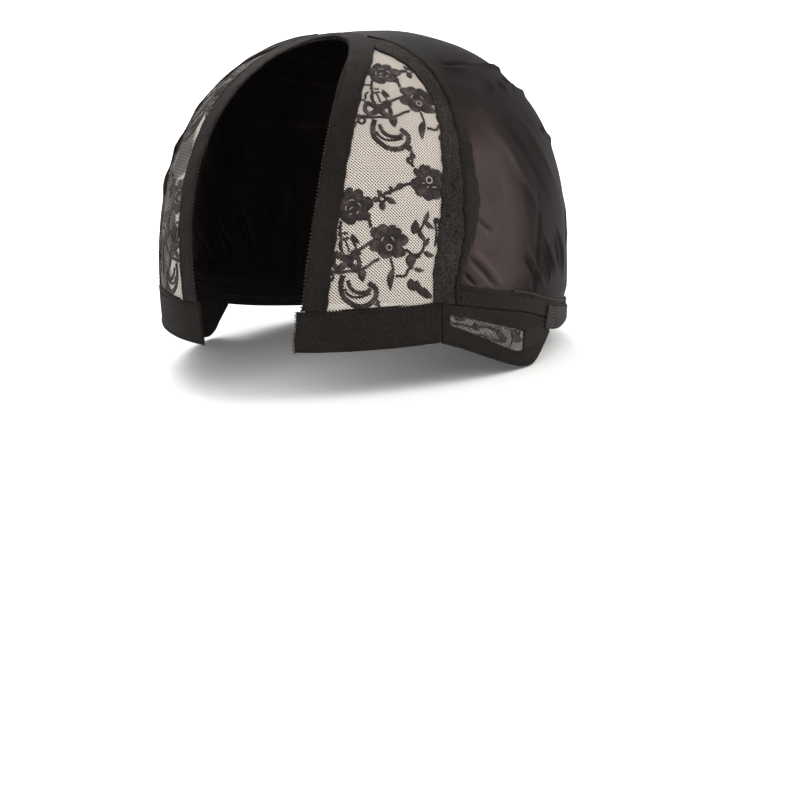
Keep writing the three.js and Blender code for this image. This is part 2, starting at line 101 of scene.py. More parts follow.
def outward(points):
    """The form's normals at points on it."""
    ray = np.asarray(points, float) - centre
    width = side_width(ray[..., 0])
    height = ray[..., 2]
    girth = np.maximum(np.hypot(ray[..., 0] / width, ray[..., 1] / half_length), 1e-6)
    square = np.where(height >= 0, girth ** (fullness - 2), 1.0)
    rising = (np.maximum(height, 0) / crown_rise) ** (fullness - 1) / crown_rise
    narrowing = 1 - rim_tuck * (height / tuck_depth) ** 2
    sinking = 2 * rim_tuck * height / tuck_depth**2 * narrowing
    return unit(
        np.stack(
            [
                ray[..., 0] / width**2 * square,
                ray[..., 1] / half_length**2 * square,
                np.where(height >= 0, rising, sinking),
            ],
            -1,
        )
    )


def at_bearing(bearing, height):
    """The form's point at a bearing from the face, in degrees, and a height above its widest level."""
    turn, height = np.broadcast_arrays(np.radians(bearing), np.asarray(height, float))
    above = np.clip(height / crown_rise, 0, 1)
    narrowing = 1 - rim_tuck * (height / tuck_depth) ** 2
    girth = np.where(height >= 0, (1 - above**fullness) ** (1 / fullness), narrowing)
    x = side_width(np.sin(turn)) * girth * np.sin(turn)
    return np.stack([x, -half_length * girth * np.cos(turn), height - crown_rise], -1)


def mirrored(points):
    """The same place on the right side of the head."""
    return seat(points * np.array([-1.0, 1.0, 1.0]))


print("form above the ear:", at_bearing(90, 0).round(1))


# %% [markdown]
# The edges of the bands are smooth lines through a few chosen points. A share from 0 to 1 names
# a place on such a line, so that two edges with different lengths can be joined by a band.

# %% Lines on the form
def smooth_line(points, steps=16):
    """A dense line through a few points, even where their spacing isn't."""
    p = np.asarray(points, float)
    p = np.vstack([2 * p[0] - p[1], p, 2 * p[-1] - p[-2]])
    t = np.linspace(0, 1, steps, endpoint=False)[:, None]
    stretches = []
    for a, b, c, d in zip(p, p[1:], p[2:], p[3:]):
        before, here, after = (math.sqrt(np.linalg.norm(v)) for v in (b - a, c - b, d - c))
        leave = ((b - a) / before - (c - a) / (before + here) + (c - b) / here) * here
        arrive = ((c - b) / here - (d - b) / (here + after) + (d - c) / after) * here
        stretches.append(
            (2 * t**3 - 3 * t**2 + 1) * b
            + (t**3 - 2 * t**2 + t) * leave
            + (3 * t**2 - 2 * t**3) * c
            + (t**3 - t**2) * arrive
        )
    return np.vstack([*stretches, p[-2]])


def run_of(line):
    """The length from a line's start to each of its points."""
    steps = np.linalg.norm(np.diff(line, axis=0), axis=1)
    return np.concatenate([[0.0], np.cumsum(steps)])


def along(line, shares):
    """The points at shares of a line's length."""
    run = run_of(line)
    wanted = np.asarray(shares, float) * run[-1]
    return np.stack([np.interp(wanted, run, line[:, k]) for k in range(line.shape[1])], -1)


def beside(line, shares, distance):
    """Points at shares of a line's length, moved sideways over the form."""
    shares = np.asarray(shares, float)
    ahead = along(line, np.clip(shares + 0.003, 0, 1))
    behind = along(line, np.clip(shares - 0.003, 0, 1))
    point = seat(along(line, shares))
    side = unit(np.cross(ahead - behind, outward(point)))
    return seat(point + side * np.asarray(distance, float)[..., None])


def between(start, end, shares):
    """Points on the form at shares of the way from each start to its end."""
    a, b = unit(start - centre), unit(end - centre)
    angle = np.arccos(np.clip((a * b).sum(-1), -1, 1))[..., None]
    mixed = np.sin((1 - shares) * angle) * a + np.sin(shares * angle) * b
    return seat(mixed / np.maximum(np.sin(angle), 1e-9) * 50 + centre)


def bearing_of(points):
    """Bearings from the face, from 0 to 360 degrees round by the left ear."""
    turn = np.arctan2(points[..., 0] / side_width(points[..., 0]), -points[..., 1] / half_length)
    return np.degrees(turn) % 360


# %% The parting slot's edge
slot_length = 155.0
slot_width = 53.4
front_hem_width = 16.0
front_hem_depth = 17.3
butt_gap = 0.3
slot_outline = [  # share of the slot's length, share of half its width
    (0.00, 0.80),
    (0.10, 0.86),
    (0.17, 0.91),
    (0.26, 0.96),
    (0.37, 1.00),
    (0.48, 0.99),
    (0.58, 0.94),
    (0.69, 0.84),
    (0.79, 0.71),
    (0.87, 0.59),
    (0.935, 0.42),
    (0.975, 0.25),
    (1.00, 0.00),
]

angles = np.radians(np.arange(-24, 120.5, 0.5))
ways = np.stack([0 * angles, -np.cos(angles), np.sin(angles)], -1)
middle_line = seat(ways * crown_rise + centre)
middle_run = run_of(middle_line)
hem_start = middle_run[np.argmax(middle_line[:, 2] > -crown_rise - front_hem_depth)]


def beside_middle(length, side):
    """The point a length along the middle line from the hem's foot, and a distance to its side."""
    middle = np.array([np.interp(hem_start + length, middle_run, middle_line[:, k]) for k in range(3)])
    low, high = 0.0, 1.0
    for _ in range(30):
        scale = (low + high) / 2
        trial = (middle - centre) * [0, scale, scale] + [side, 0, 0] + centre
        inside = np.linalg.norm(seat(trial) - centre) > np.linalg.norm(trial - centre)
        low, high = (scale, high) if inside else (low, scale)
    return (middle - centre) * [0, low, low] + [side, 0, 0] + centre


left_slot = np.array([beside_middle(a * slot_length, h * slot_width / 2) for a, h in slot_outline])
slot_edge = smooth_line(np.vstack([left_slot, mirrored(left_slot[-2::-1])]))


def elevation(points):
    return np.arctan2(points[..., 2] - centre[2], -points[..., 1])


def slot_share_at(length):
    """The share of the slot's edge, on the left, that lies beside a length of the middle line."""
    shares = np.linspace(0, 0.5, 400)
    return np.interp(elevation(beside_middle(length, 0)), elevation(along(slot_edge, shares)), shares)


print("slot edge runs", round(run_of(slot_edge)[-1]), "mm round")

# %% The lines of the arch band and the back band
arch_bearing = 53.0
arch_foot_turn = 7.4
hem_rear_bearing = 55.0
back_drop = 22.0
back_band_width = 7.5
slot_band_width = 9.5
arch_front = [  # degrees added to the arch's bearing, share of the crown's rise
    (0.3, 0.11),
    (1.9, 0.24),
    (4.4, 0.43),
    (6.6, 0.58),
    (8.6, 0.70),
    (9.2, 0.80),
    (7.6, 0.88),
    (3.0, 0.933),
    (-4.0, 0.957),
]
arch_rear = [
    (7.8, 0.05),
    (9.8, 0.12),
    (13.0, 0.25),
    (15.4, 0.42),
    (17.0, 0.58),
    (18.4, 0.72),
    (19.0, 0.82),
    (18.8, 0.90),
    (16.6, 0.95),
    (12.0, 0.978),
]
arch_tip_front, arch_tip_rear = 0.935, 0.985  # where its edges meet the slot band
back_edge = [  # bearing, share of the back drop
    (53, -0.33),
    (60, -0.20),
    (67, -0.07),
    (75, 0.06),
    (86, 0.25),
    (95, 0.46),
    (106, 0.66),
    (122, 0.84),
    (145, 0.95),
    (180, 1.00),
]

left_back = np.array([at_bearing(bearing, -drop * back_drop) for bearing, drop in back_edge])
back_line = smooth_line(np.vstack([left_back, mirrored(left_back[-2::-1])]))


def line_below_back(distance):
    """The line a distance below the back band's upper edge, all the way round."""
    return smooth_line(beside(back_line, np.linspace(0, 1, 49), distance), 6)


def share_at_bearing(line, bearing):
    """The share of a line round the back at a bearing on the left."""
    shares = np.linspace(0, 0.5, 600)
    return np.interp(bearing, bearing_of(along(line, shares)), shares)


def height_at(line, bearing):
    """A line's height above the widest level at a bearing on the left."""
    return along(line, share_at_bearing(line, bearing))[..., 2] - centre[2]


front_hem_top = front_hem_width - front_hem_depth
back_foot_line = line_below_back(back_band_width)
tip_front = slot_share_at(arch_tip_front * slot_length)
tip_rear = slot_share_at(arch_tip_rear * slot_length)
arch_rear_bearing = arch_bearing + arch_foot_turn


def arch_edge(foot, table, tip):
    """One edge of the left arch band, from its foot up to the slot band."""
    rows = [at_bearing(arch_bearing + swing, rise * crown_rise) for swing, rise in table]
    return smooth_line([foot, *rows, beside(slot_edge, tip, slot_band_width)])


arch_front_line = arch_edge(at_bearing(arch_bearing, front_hem_top), arch_front, tip_front)
arch_rear_foot = at_bearing(arch_rear_bearing, height_at(back_foot_line, arch_rear_bearing))
arch_rear_line = arch_edge(arch_rear_foot, arch_rear, tip_rear)


def arch_rear_share(height):
    """The share of the arch band's rear edge at a height above the widest level."""
    shares = np.linspace(0, 0.7, 600)
    return np.interp(height, along(arch_rear_line, shares)[:, 2] - centre[2], shares)


print("arch band runs", round(run_of(arch_front_line)[-1]), "mm along the lace")


# %% [markdown]
# Cloth, elastic and binding are all thin skins with two faces and an edge. One helper makes such
# a skin over a grid of points, as a closed mesh whose faces point outwards. Its UV map is in
# millimetres, along the piece and across it, so that a weave keeps its real size and follows the
# piece round the head.

# %% A skin over a grid of points
def skin(name, grid, bottom, top, ring=False):
    """A closed skin between two heights above a grid of points on the form."""
    n, m = grid.shape[:2]
    normal = outward(grid)
    heights = [np.broadcast_to(np.asarray(h, float), (n, m)) for h in (bottom, top)]
    points = np.concatenate([(grid + normal * h[..., None]).reshape(-1, 3) for h in heights])
    middle = grid[:, m // 2]
    run = run_of(np.vstack([middle, middle[:1]]) if ring else middle)
    across = np.linalg.norm(np.diff(grid, axis=1), axis=-1)
    width = np.concatenate([np.zeros((n, 1)), np.cumsum(across, axis=1)], 1)

    def faces(i, j, *corners):
        i, j = (np.asarray(a).ravel() for a in np.broadcast_arrays(i, j))
        return np.stack([np.stack([i + a, j + b, 0 * i + side], -1) for a, b, side in corners], 1)

    i = np.arange(n if ring else n - 1)[:, None]
    j = np.arange(m - 1)[None, :]
    last = m - 1
    parts = [
        faces(i, j, (0, 0, 1), (1, 0, 1), (1, 1, 1), (0, 1, 1)),
        faces(i, j, (0, 0, 0), (0, 1, 0), (1, 1, 0), (1, 0, 0)),
        faces(i, 0, (1, 0, 1), (0, 0, 1), (0, 0, 0), (1, 0, 0)),
        faces(i, 0, (0, last, 1), (1, last, 1), (1, last, 0), (0, last, 0)),
    ]
    if not ring:
        parts.append(faces(0, j, (0, 0, 1), (0, 1, 1), (0, 1, 0), (0, 0, 0)))
        parts.append(faces(n - 1, j, (0, 1, 1), (0, 0, 1), (0, 0, 0), (0, 1, 0)))
    corners = np.concatenate(parts)
    turned = np.cross(grid[1, 0] - grid[0, 0], grid[0, 1] - grid[0, 0]) @ normal[0, 0] < 0
    if turned:
        corners = corners[:, ::-1]
    rows, columns, sides = corners[..., 0], corners[..., 1], corners[..., 2]
    mesh = bpy.data.meshes.new(name)
    index = sides * n * m + (rows % n) * m + columns
    mesh.from_pydata((points * MM).tolist(), [], index.tolist())
    uv = np.stack([run[rows], width[rows % n, columns]], -1)
    mesh.uv_layers.new(name="UVMap").data.foreach_set("uv", uv.ravel())
    mesh.shade_smooth()
    return mesh


def piece(name, mesh, material):
    """An object for a finished mesh, with one material."""
    made = bpy.data.objects.new(name, mesh)
    scene.collection.objects.link(made)
    mesh.materials.clear()
    mesh.materials.append(material)
    mesh.calc_loop_triangles()
    print(f"{name}: {len(mesh.loop_triangles)} triangles")
    return made


# %% Soft edges and unevenness
def stops(width, edge, inner=4):
    """Distances across a band, close together at its two rounded edges."""
    bend = edge * (1 - np.cos(np.linspace(0, math.pi / 2, 5)))
    flat = np.linspace(edge, width - edge, inner + 2)[1:-1]
    return np.concatenate([bend, flat, width - bend[::-1]])


def rounded(distances, width, edge):
    """How far a band's face has risen, from 0 at its edges to 1 on its flat."""
    near = np.minimum(np.minimum(distances, width - distances) / edge, 1)
    return np.sqrt(np.maximum(1 - (1 - near) ** 2, 0))


def swells(points, length, seed=3):
    """Smooth hollows and swells of about a length, from -1 to 1, the same on each run."""
    rng = np.random.default_rng(seed)
    total = 0
    for _ in range(7):
        way = unit(rng.normal(size=3))
        pitch = length * rng.uniform(0.7, 1.6)
        total = total + np.sin(points @ way * 2 * math.pi / pitch + rng.uniform(0, 2 * math.pi))
    return total / 3.5


# %% [markdown]
# Black elastic isn't plain black. It is knitted in fine ribs, light catches on its raised yarns,
# and lint and wear leave it a little brown. The material draws the ribs from the UV map, so they
# run along each band, as bumps and as a painted highlight that lightens each rib's crest, and
# adds a fleck for single yarns. A weak sheen stands for the fuzz.

# %% Helpers for materials
def new_material(name):
    """An empty node material with a Principled shader."""
    material = bpy.data.materials.new(name)
    material.use_nodes = True
    tree = material.node_tree
    tree.nodes.clear()
    shader = tree.nodes.new("ShaderNodeBsdfPrincipled")
    output = tree.nodes.new("ShaderNodeOutputMaterial")
    tree.links.new(shader.outputs["BSDF"], output.inputs["Surface"])
    return material, tree, shader


def add(tree, kind, settings=None, **inputs):
    """A node with settings, and with values or links for its inputs by number or name."""
    node = tree.nodes.new(kind)
    for key, value in (settings or {}).items():
        setattr(node, key, value)
    for key, value in inputs.items():
        slot = int(key[1:]) if key[0] == "i" and key[1:].isdigit() else key.replace("_", " ")
        feed(tree, node.inputs[slot], value)
    return node


def feed(tree, socket, value):
    if isinstance(value, bpy.types.NodeSocket):
        tree.links.new(value, socket)
    else:
        socket.default_value = value


def noise(tree, vector, scale, detail=2.0, roughness=0.5):
    node = add(
        tree, "ShaderNodeTexNoise", Vector=vector, Scale=scale, Detail=detail, Roughness=roughness
    )
    return node.outputs["Fac"]


def waves(tree, value, pitch):
    """Rounded ridges at a pitch, in the units of the value."""
    turn = add(tree, "ShaderNodeMath", {"operation": "MULTIPLY"}, i0=value, i1=2 * math.pi / pitch)
    return add(tree, "ShaderNodeMath", {"operation": "SINE"}, i0=turn.outputs[0]).outputs[0]


def maths(tree, operation, first, second=0.0, third=0.0):
    node = add(tree, "ShaderNodeMath", {"operation": operation}, i0=first, i1=second, i2=third)
    return node.outputs[0]


def ramp(tree, factor, *stops_and_colours):
    """Colours that change with a factor."""
    node = add(tree, "ShaderNodeValToRGB", Fac=factor)
    band = node.color_ramp
    while len(band.elements) < len(stops_and_colours):
        band.elements.new(0.5)
    for element, (place, colour) in zip(band.elements, stops_and_colours):
        element.position = place
        element.color = (*colour, 1.0)
    return node.outputs["Color"]


def bump(tree, shader, height, distance, strength=1.0):
    node = add(tree, "ShaderNodeBump", Height=height, Distance=distance, Strength=strength)
    tree.links.new(node.outputs["Normal"], shader.inputs["Normal"])


def yarn_finish(shader, roughness, sheen, gloss=0.08, sheen_tint=(0.6, 0.56, 0.53)):
    """Finish values that are the same all over a cloth."""
    shader.inputs["Roughness"].default_value = roughness
    shader.inputs["Sheen Weight"].default_value = sheen
    shader.inputs["Sheen Roughness"].default_value = 0.5
    shader.inputs["Sheen Tint"].default_value = (*sheen_tint, 1.0)
    shader.inputs["Specular IOR Level"].default_value = gloss


# %% Elastic and binding
def elastic(name, dark, light, rib_pitch, weft_pitch, fleck, sheen=0.02, yarn_scale=1500):
    """Knitted elastic: ribs along the band, finer wefts across it, and flecks of single yarns."""
    material, tree, shader = new_material(name)
    spot = add(tree, "ShaderNodeTexCoord")
    uv = add(tree, "ShaderNodeSeparateXYZ", Vector=spot.outputs["UV"])
    ribs = waves(tree, uv.outputs["Y"], rib_pitch)
    wefts = waves(tree, uv.outputs["X"], weft_pitch)
    yarns = noise(tree, spot.outputs["Object"], yarn_scale, 2, 0.6)
    patches = noise(tree, spot.outputs["Object"], 60, 3, 0.6)
    # Ribs and wefts lighten the colour on their crests, a painted highlight; the yarn flecks and
    # patches are the elastic's own colour.
    ridge_highlight_and_flecks = maths(tree, "MULTIPLY_ADD", ribs, 0.05, yarns)
    ridge_highlight_and_flecks = maths(tree, "MULTIPLY_ADD", wefts, 0.04, ridge_highlight_and_flecks)
    ridge_highlight_and_flecks = maths(tree, "MULTIPLY_ADD", patches, 0.45, ridge_highlight_and_flecks)
    mid = tuple((a + b) / 2.2 for a, b in zip(dark, light))
    colour = ramp(tree, ridge_highlight_and_flecks, (0.50, dark), (0.74, mid), (0.74 + fleck, light))
    tree.links.new(colour, shader.inputs["Base Color"])
    relief = maths(tree, "MULTIPLY_ADD", wefts, 0.35, ribs)
    relief = maths(tree, "MULTIPLY_ADD", yarns, 1.2, relief)
    bump(tree, shader, relief, 0.00012, 0.8)
    yarn_finish(shader, 0.82, sheen)
    return material


black_elastic = elastic(
    "black_elastic", (0.0062, 0.0050, 0.0044), (0.021, 0.0170, 0.0150), 0.9, 0.6, 0.3
)
speckled_elastic = elastic(
    "speckled_elastic", (0.0044, 0.0036, 0.0031), (0.038, 0.0316, 0.0278), 0.8, 0.8, 0.32, 0.02, 950
)
strap_elastic = elastic(
    "strap_elastic", (0.010, 0.0092, 0.0088), (0.042, 0.0380, 0.0355), 1.3, 0.9, 0.24, 0.03
)

# %% [markdown]
# The crown is a fine stretch knit. Where it is stretched over the head it thins, and the light
# brown of its yarns shows more. Where it is gathered it lies double and looks darker. That is a
# property of the place on the cloth, so it is kept as an attribute on the mesh, which the
# material then reads. The same attribute also carries painted light: a painted shade in an
# upright band near 90 degrees from the face, and a painted highlight on the crests of the
# creases and gathers, with painted shade in their hollows.

# %% Stretch cloth
def stretch_cloth():
    material, tree, shader = new_material("stretch_cloth")
    spot = add(tree, "ShaderNodeTexCoord")
    # Painted light: besides the cloth's thinning, this attribute holds a painted shade in a band near
    # 90 degrees, and painted highlights and shade on the folds.
    pull_and_painted_light = add(tree, "ShaderNodeAttribute", {"attribute_name": "pull_and_painted_light"}).outputs["Fac"]
    uv = add(tree, "ShaderNodeSeparateXYZ", Vector=spot.outputs["UV"])
    clouds = noise(tree, spot.outputs["Object"], 24, 3, 0.55)
    mottle = noise(tree, spot.outputs["Object"], 330, 3, 0.65)
    lint = noise(tree, spot.outputs["Object"], 1100, 2, 0.6)
    tone = maths(tree, "MULTIPLY_ADD", clouds, 0.16, pull_and_painted_light)
    tone = maths(tree, "MULTIPLY_ADD", mottle, 0.16, tone)
    tone = maths(tree, "MULTIPLY_ADD", lint, 0.20, tone)
    colour = ramp(
        tree,
        maths(tree, "SUBTRACT", tone, 0.10),
        (0.10, (0.0078, 0.0060, 0.0058)),
        (0.50, (0.0165, 0.0128, 0.0122)),
        (1.00, (0.0600, 0.0450, 0.0432)),
    )
    tree.links.new(colour, shader.inputs["Base Color"])
    courses, wales = waves(tree, uv.outputs["Y"], 0.55), waves(tree, uv.outputs["X"], 0.45)
    knit = maths(tree, "MULTIPLY_ADD", courses, 0.6, wales)
    knit = maths(tree, "MULTIPLY_ADD", lint, 1.2, knit)
    knit = maths(tree, "MULTIPLY_ADD", mottle, 1.6, knit)
    bump(tree, shader, knit, 0.00007, 0.6)
    yarn_finish(shader, 0.48, 0.0, 0.018)
    return material


crown_cloth = stretch_cloth()


# %% [markdown]
# Sewing threads are dark, and a few are brown or tan, which one sees along the slot's edge. A
# noise at the size of single fibres breaks up their colour, and a slow one fades it along the
# seam. The flowers' filling yarn is laid in satin rows across each shape, so its material draws
# those rows from the UV map, with a little more gloss than the plain threads have.

# %% Threads
def thread_finish(name, dark, light, roughness=0.8, sheen=0.03, twist=0.0003):
    """Sewing thread, net yarn or lace filling, with a fine twist."""
    material, tree, shader = new_material(name)
    spot = add(tree, "ShaderNodeTexCoord")
    patches = noise(tree, spot.outputs["Object"], 140, 3, 0.6)
    fibres = noise(tree, spot.outputs["Object"], 2600, 2, 0.6)
    mixed = maths(tree, "MULTIPLY_ADD", fibres, 0.6, patches)
    tree.links.new(ramp(tree, mixed, (0.55, dark), (1.05, light)), shader.inputs["Base Color"])
    bump(tree, shader, fibres, twist, 0.5)
    yarn_finish(shader, roughness, sheen)
    return material


tab_net_yarn = thread_finish("tab_net_yarn", (0.06, 0.055, 0.050), (0.25, 0.230, 0.212))
eyelet_yarn = thread_finish("eyelet_yarn", (0.14, 0.120, 0.105), (0.32, 0.275, 0.240))
black_thread = thread_finish("black_thread", (0.005, 0.0046, 0.0045), (0.015, 0.0135, 0.013))
tan_thread = thread_finish("tan_thread", (0.030, 0.025, 0.018), (0.10, 0.082, 0.056))
brown_thread = thread_finish("brown_thread", (0.016, 0.012, 0.010), (0.050, 0.037, 0.029))


def filling_finish():
    """The flowers' filling yarn: satin rows across each shape, with a painted highlight on the ridge
    of each row.
    """
    material, tree, shader = new_material("lace_filling")
    spot = add(tree, "ShaderNodeTexCoord")
    uv = add(tree, "ShaderNodeSeparateXYZ", Vector=spot.outputs["UV"])
    rows = waves(tree, uv.outputs["X"], 0.62)
    fibres = noise(tree, spot.outputs["Object"], 1900, 2, 0.6)
    patches = noise(tree, spot.outputs["Object"], 260, 2, 0.6)
    # The rows lighten the colour on each ridge, a painted highlight; fibres and patches are the yarn's
    # own colour.
    ridge_highlight_and_flecks = maths(tree, "MULTIPLY_ADD", rows, 0.10, maths(tree, "MULTIPLY_ADD", fibres, 0.5, patches))
    colour = ramp(
        tree,
        ridge_highlight_and_flecks,
        (0.50, (0.012, 0.0090, 0.0088)),
        (0.80, (0.031, 0.0230, 0.0222)),
        (1.00, (0.095, 0.0740, 0.0700)),
    )
    tree.links.new(colour, shader.inputs["Base Color"])
    bump(tree, shader, maths(tree, "MULTIPLY_ADD", fibres, 0.8, rows), 0.00016, 0.8)
    yarn_finish(shader, 0.7, 0.03, 0.15)
    return material


lace_filling = filling_finish()

# %% [markdown]
# The net looks pale where one looks straight at it, and greyer towards the side of the head,
# where one sees its yarns from their flanks. So each yarn is pale on its outer face and dark on
# its flanks. How far a face looks outwards is its normal against the way from the head's middle,
# and neither of them changes with the camera.

# %% Net yarn
def net_finish():
    material, tree, shader = new_material("net_yarn")
    spot = add(tree, "ShaderNodeTexCoord")
    middle = tuple(centre * MM)
    here, normal = spot.outputs["Object"], spot.outputs["Normal"]
    away = add(tree, "ShaderNodeVectorMath", {"operation": "SUBTRACT"}, i0=here, i1=middle)
    way = add(tree, "ShaderNodeVectorMath", {"operation": "NORMALIZE"}, i0=away.outputs[0])
    facing = add(
        tree, "ShaderNodeVectorMath", {"operation": "DOT_PRODUCT"}, i0=normal, i1=way.outputs[0]
    )
    patches = noise(tree, spot.outputs["Object"], 140, 3, 0.6)
    # Painted shade: an attribute that darkens the right panel's net yarn.
    painted_shade = add(tree, "ShaderNodeAttribute", {"attribute_name": "painted_shade"}).outputs["Fac"]
    tone = maths(tree, "MULTIPLY_ADD", patches, 0.16, facing.outputs["Value"])
    tone = maths(tree, "MULTIPLY_ADD", painted_shade, -0.70, tone)
    colour = ramp(
        tree,
        tone,
        (0.30, (0.060, 0.054, 0.049)),
        (0.72, (0.345, 0.310, 0.275)),
        (1.00, (0.690, 0.630, 0.565)),
    )
    tree.links.new(colour, shader.inputs["Base Color"])
    yarn_finish(shader, 0.8, 0.03)
    return material


net_yarn = net_finish()

# %% [markdown]
# The crown is one grid of points between the arch bands in front and the back band behind, so
# one formula gives its whole shape. Broad folds have a place, a lean and a size. Sharp creases
# follow a line of points. Both lift or sink the cloth by a bell-shaped amount across them. Cloth
# simulation could make such folds too, but they would not lie where the real ones do.

# %% The crown's folds and gathers
crown_folds = [  # bearing, height, lean from upright, run, breadth and stand
    (77, 26, -36, 18, 5.0, -0.6),
    (90.5, 3, -15, 24, 1.9, -0.9),
    (82, 81, 70, 16, 6.0, -0.8),
    (118, 88, 84, 44, 20.0, -1.0),
    (118, 36, 0, 60, 24.0, 1.2),
    (150, 75, 86, 30, 7.0, -1.5),
]
creases = [  # breadth, stand, then bearing and height of points along it
    (0.9, -1.3, [(63.6, 15.6), (66.4, 11.7), (69.3, 7.7), (71.3, 3.9), (74.3, -0.2)]),
    (1.1, 1.3, [(63.0, 13.7), (66.1, 7.6), (69.5, 2.7), (72.4, -1.0)]),
    (0.8, -1.2, [(62.5, 9.3), (64.4, 5.5), (67.0, 2.0)]),
    (0.9, 1.0, [(61.8, 7.4), (64.0, 3.6), (66.0, 1.3)]),
    (1.2, 0.9, [(65.6, 16.2), (68.6, 12.0), (72.0, 6.6), (75.6, 1.0)]),
    (0.9, -1.0, [(67.7, 29.0), (70.0, 26.0), (73.0, 22.5)]),
    (1.0, 0.55, [(67.7, 25.3), (69.7, 22.8), (71.3, 20.4)]),
    (0.8, 0.4, [(65.4, 21.7), (66.6, 19.0)]),
    (0.9, -0.3, [(68.2, 16.6), (70.2, 14.1), (74.7, 13.0)]),
    (1.1, 1.1, [(85.9, 14.0), (86.9, 10.2), (89.9, 4.7), (92.0, -0.6), (95.2, -5.8)]),
    (1.0, -0.9, [(84.6, 10.0), (87.6, 3.9), (89.6, -1.4)]),
    (0.9, 1.1, [(95.8, 14.5), (97.2, 11.1), (99.1, 6.2), (101.4, 1.3), (103.0, -3.0)]),
    (0.8, 0.9, [(95.4, 10.0), (96.2, 7.1), (97.4, 2.5), (98.8, -4.4)]),
    (0.8, -0.8, [(97.0, 8.6), (98.3, 4.2), (100.2, -2.0)]),
    (1.1, 0.9, [(105.6, 17.0), (106.5, 12.7), (108.4, 7.8), (109.4, 3.2), (110.6, -6.0)]),
    (1.0, -0.8, [(103.0, 12.0), (104.6, 6.4), (106.4, -1.0)]),
    (1.1, 0.9, [(122.0, 25.8), (121.5, 17.2), (121.0, 10.3), (121.4, 0.0)]),
    (1.1, -0.8, [(117.0, 20.0), (116.2, 12.0), (116.6, 2.0)]),
    (0.9, 0.35, [(85.1, 0.1), (86.5, -2.8), (88.6, -6.4)]),
    (1.2, 1.3, [(104.0, 82.0), (107.0, 81.2), (121.7, 77.9), (130.0, 75.8), (140.0, 73.0)]),
    (1.0, -1.1, [(110.0, 74.2), (118.9, 72.5), (128.0, 71.0)]),
    (1.3, 1.2, [(117.0, 68.0), (127.0, 66.6), (138.0, 63.0)]),
    (1.0, -1.0, [(110.0, 54.0), (116.9, 52.5), (124.0, 53.0)]),
    (1.6, 1.0, [(116.0, 47.6), (124.4, 47.4), (136.0, 46.0)]),
    (0.9, 0.8, [(101.3, 77.8), (99.5, 75.5), (94.6, 72.1)]),
    (0.8, 0.6, [(107.7, 73.4), (104.7, 70.4)]),
    (0.9, 0.7, [(119.2, 71.6), (112.4, 69.1)]),
    (0.8, -0.8, [(106.6, 74.4), (102.4, 72.5)]),
    (0.8, -0.9, [(121.4, 72.1), (121.1, 68.5), (127.4, 66.4)]),
    (0.7, -0.6, [(115.1, 66.9), (113.6, 65.4)]),
    (0.9, -0.8, [(80.6, 84.9), (86.6, 84.1), (95.2, 83.7), (101.1, 82.2)]),
    (0.9, 0.6, [(79.8, 83.9), (83.5, 83.3), (93.7, 81.8)]),
    (2.2, 0.6, [(80.0, 60.0), (88.0, 40.0), (96.0, 22.0)]),
    (2.6, -0.45, [(88.0, 62.0), (95.0, 44.0), (102.0, 26.0)]),
    (2.4, 0.5, [(100.0, 62.0), (105.0, 44.0), (110.0, 28.0)]),
]
gather_pitch = 12.0
gather_stand = 1.1
gather_fade = 24.0


def crease_share(points, marks, breadth):
    """From 1 on a crease's line to 0 away from it, fading towards the crease's two ends."""
    bearings, heights = np.array(marks, float).T
    line = smooth_line(at_bearing(bearings, heights), 5)
    run = run_of(line)
    near, place = np.full(points.shape[:-1], 1e9), np.zeros(points.shape[:-1])
    for k in range(len(line) - 1):
        step = line[k + 1] - line[k]
        share = np.clip((points - line[k]) @ step / (step @ step), 0, 1)
        gap = ((points - line[k] - share[..., None] * step) ** 2).sum(-1)
        place = np.where(gap < near, run[k] + share * (run[k + 1] - run[k]), place)
        near = np.minimum(near, gap)
    fade = np.minimum(place, run[-1] - place) / (0.3 * run[-1])
    return np.exp(-near / breadth**2) * (0.15 + 0.85 * np.clip(fade, 0, 1))


def on_left(points):
    """Points with those on the right side of the head mirrored to the left."""
    return seat(points * np.where(points[..., :1] < 0, [-1.0, 1.0, 1.0], [1.0, 1.0, 1.0]))


def fold_heights(points):
    """How high the broad folds stand at points on the form."""
    left = on_left(points)
    total = np.zeros(points.shape[:-1])
    for bearing, height, lean, run, breadth, stand in crown_folds:
        middle = at_bearing(bearing, height)
        normal = outward(middle)
        upright = unit(np.array([0, 0, 1.0]) - normal * normal[2])
        level = np.cross(upright, normal)
        turn = math.radians(lean)
        across = level * math.cos(turn) + upright * math.sin(turn)
        away = left - middle
        beyond = (away @ across) ** 2
        rest = (away**2).sum(-1) - beyond
        total += stand * np.exp(-beyond / breadth**2 - rest / run**2)
    return total


def crease_heights(points):
    """How high the sharp creases stand, or how deep they sink."""
    left = on_left(points)
    return sum(stand * crease_share(left, marks, breadth) for breadth, stand, marks in creases)


def gather_heights(points):
    """Gathers above the back band, where the crown is eased on to it."""
    bearing = bearing_of(points)
    from_face = np.minimum(bearing, 360 - bearing)
    eased = np.clip((from_face - 104) / 18, 0, 1) ** 2
    above = np.maximum(points[..., 2] - centre[2] - height_at(back_line, from_face), 0)
    length = np.radians(from_face) * (half_width + half_length) / 2
    wander = swells(points, 60, seed=9) * 1.4
    wave = np.cos(2 * math.pi * length / gather_pitch + wander)
    fine = np.cos(2 * math.pi * length / (gather_pitch * 0.43) + 2 * wander)
    stand = gather_stand * (1 + 0.7 * np.clip((from_face - 120) / 20, 0, 1))
    return stand * eased * (0.7 * wave + 0.3 * fine) * np.exp(-above / gather_fade)


# %% The crown
cloth_top = 0.45
crown_corner = 1.6  # how far the crown starts from the corner of arch band and back band
underlap = 4.0


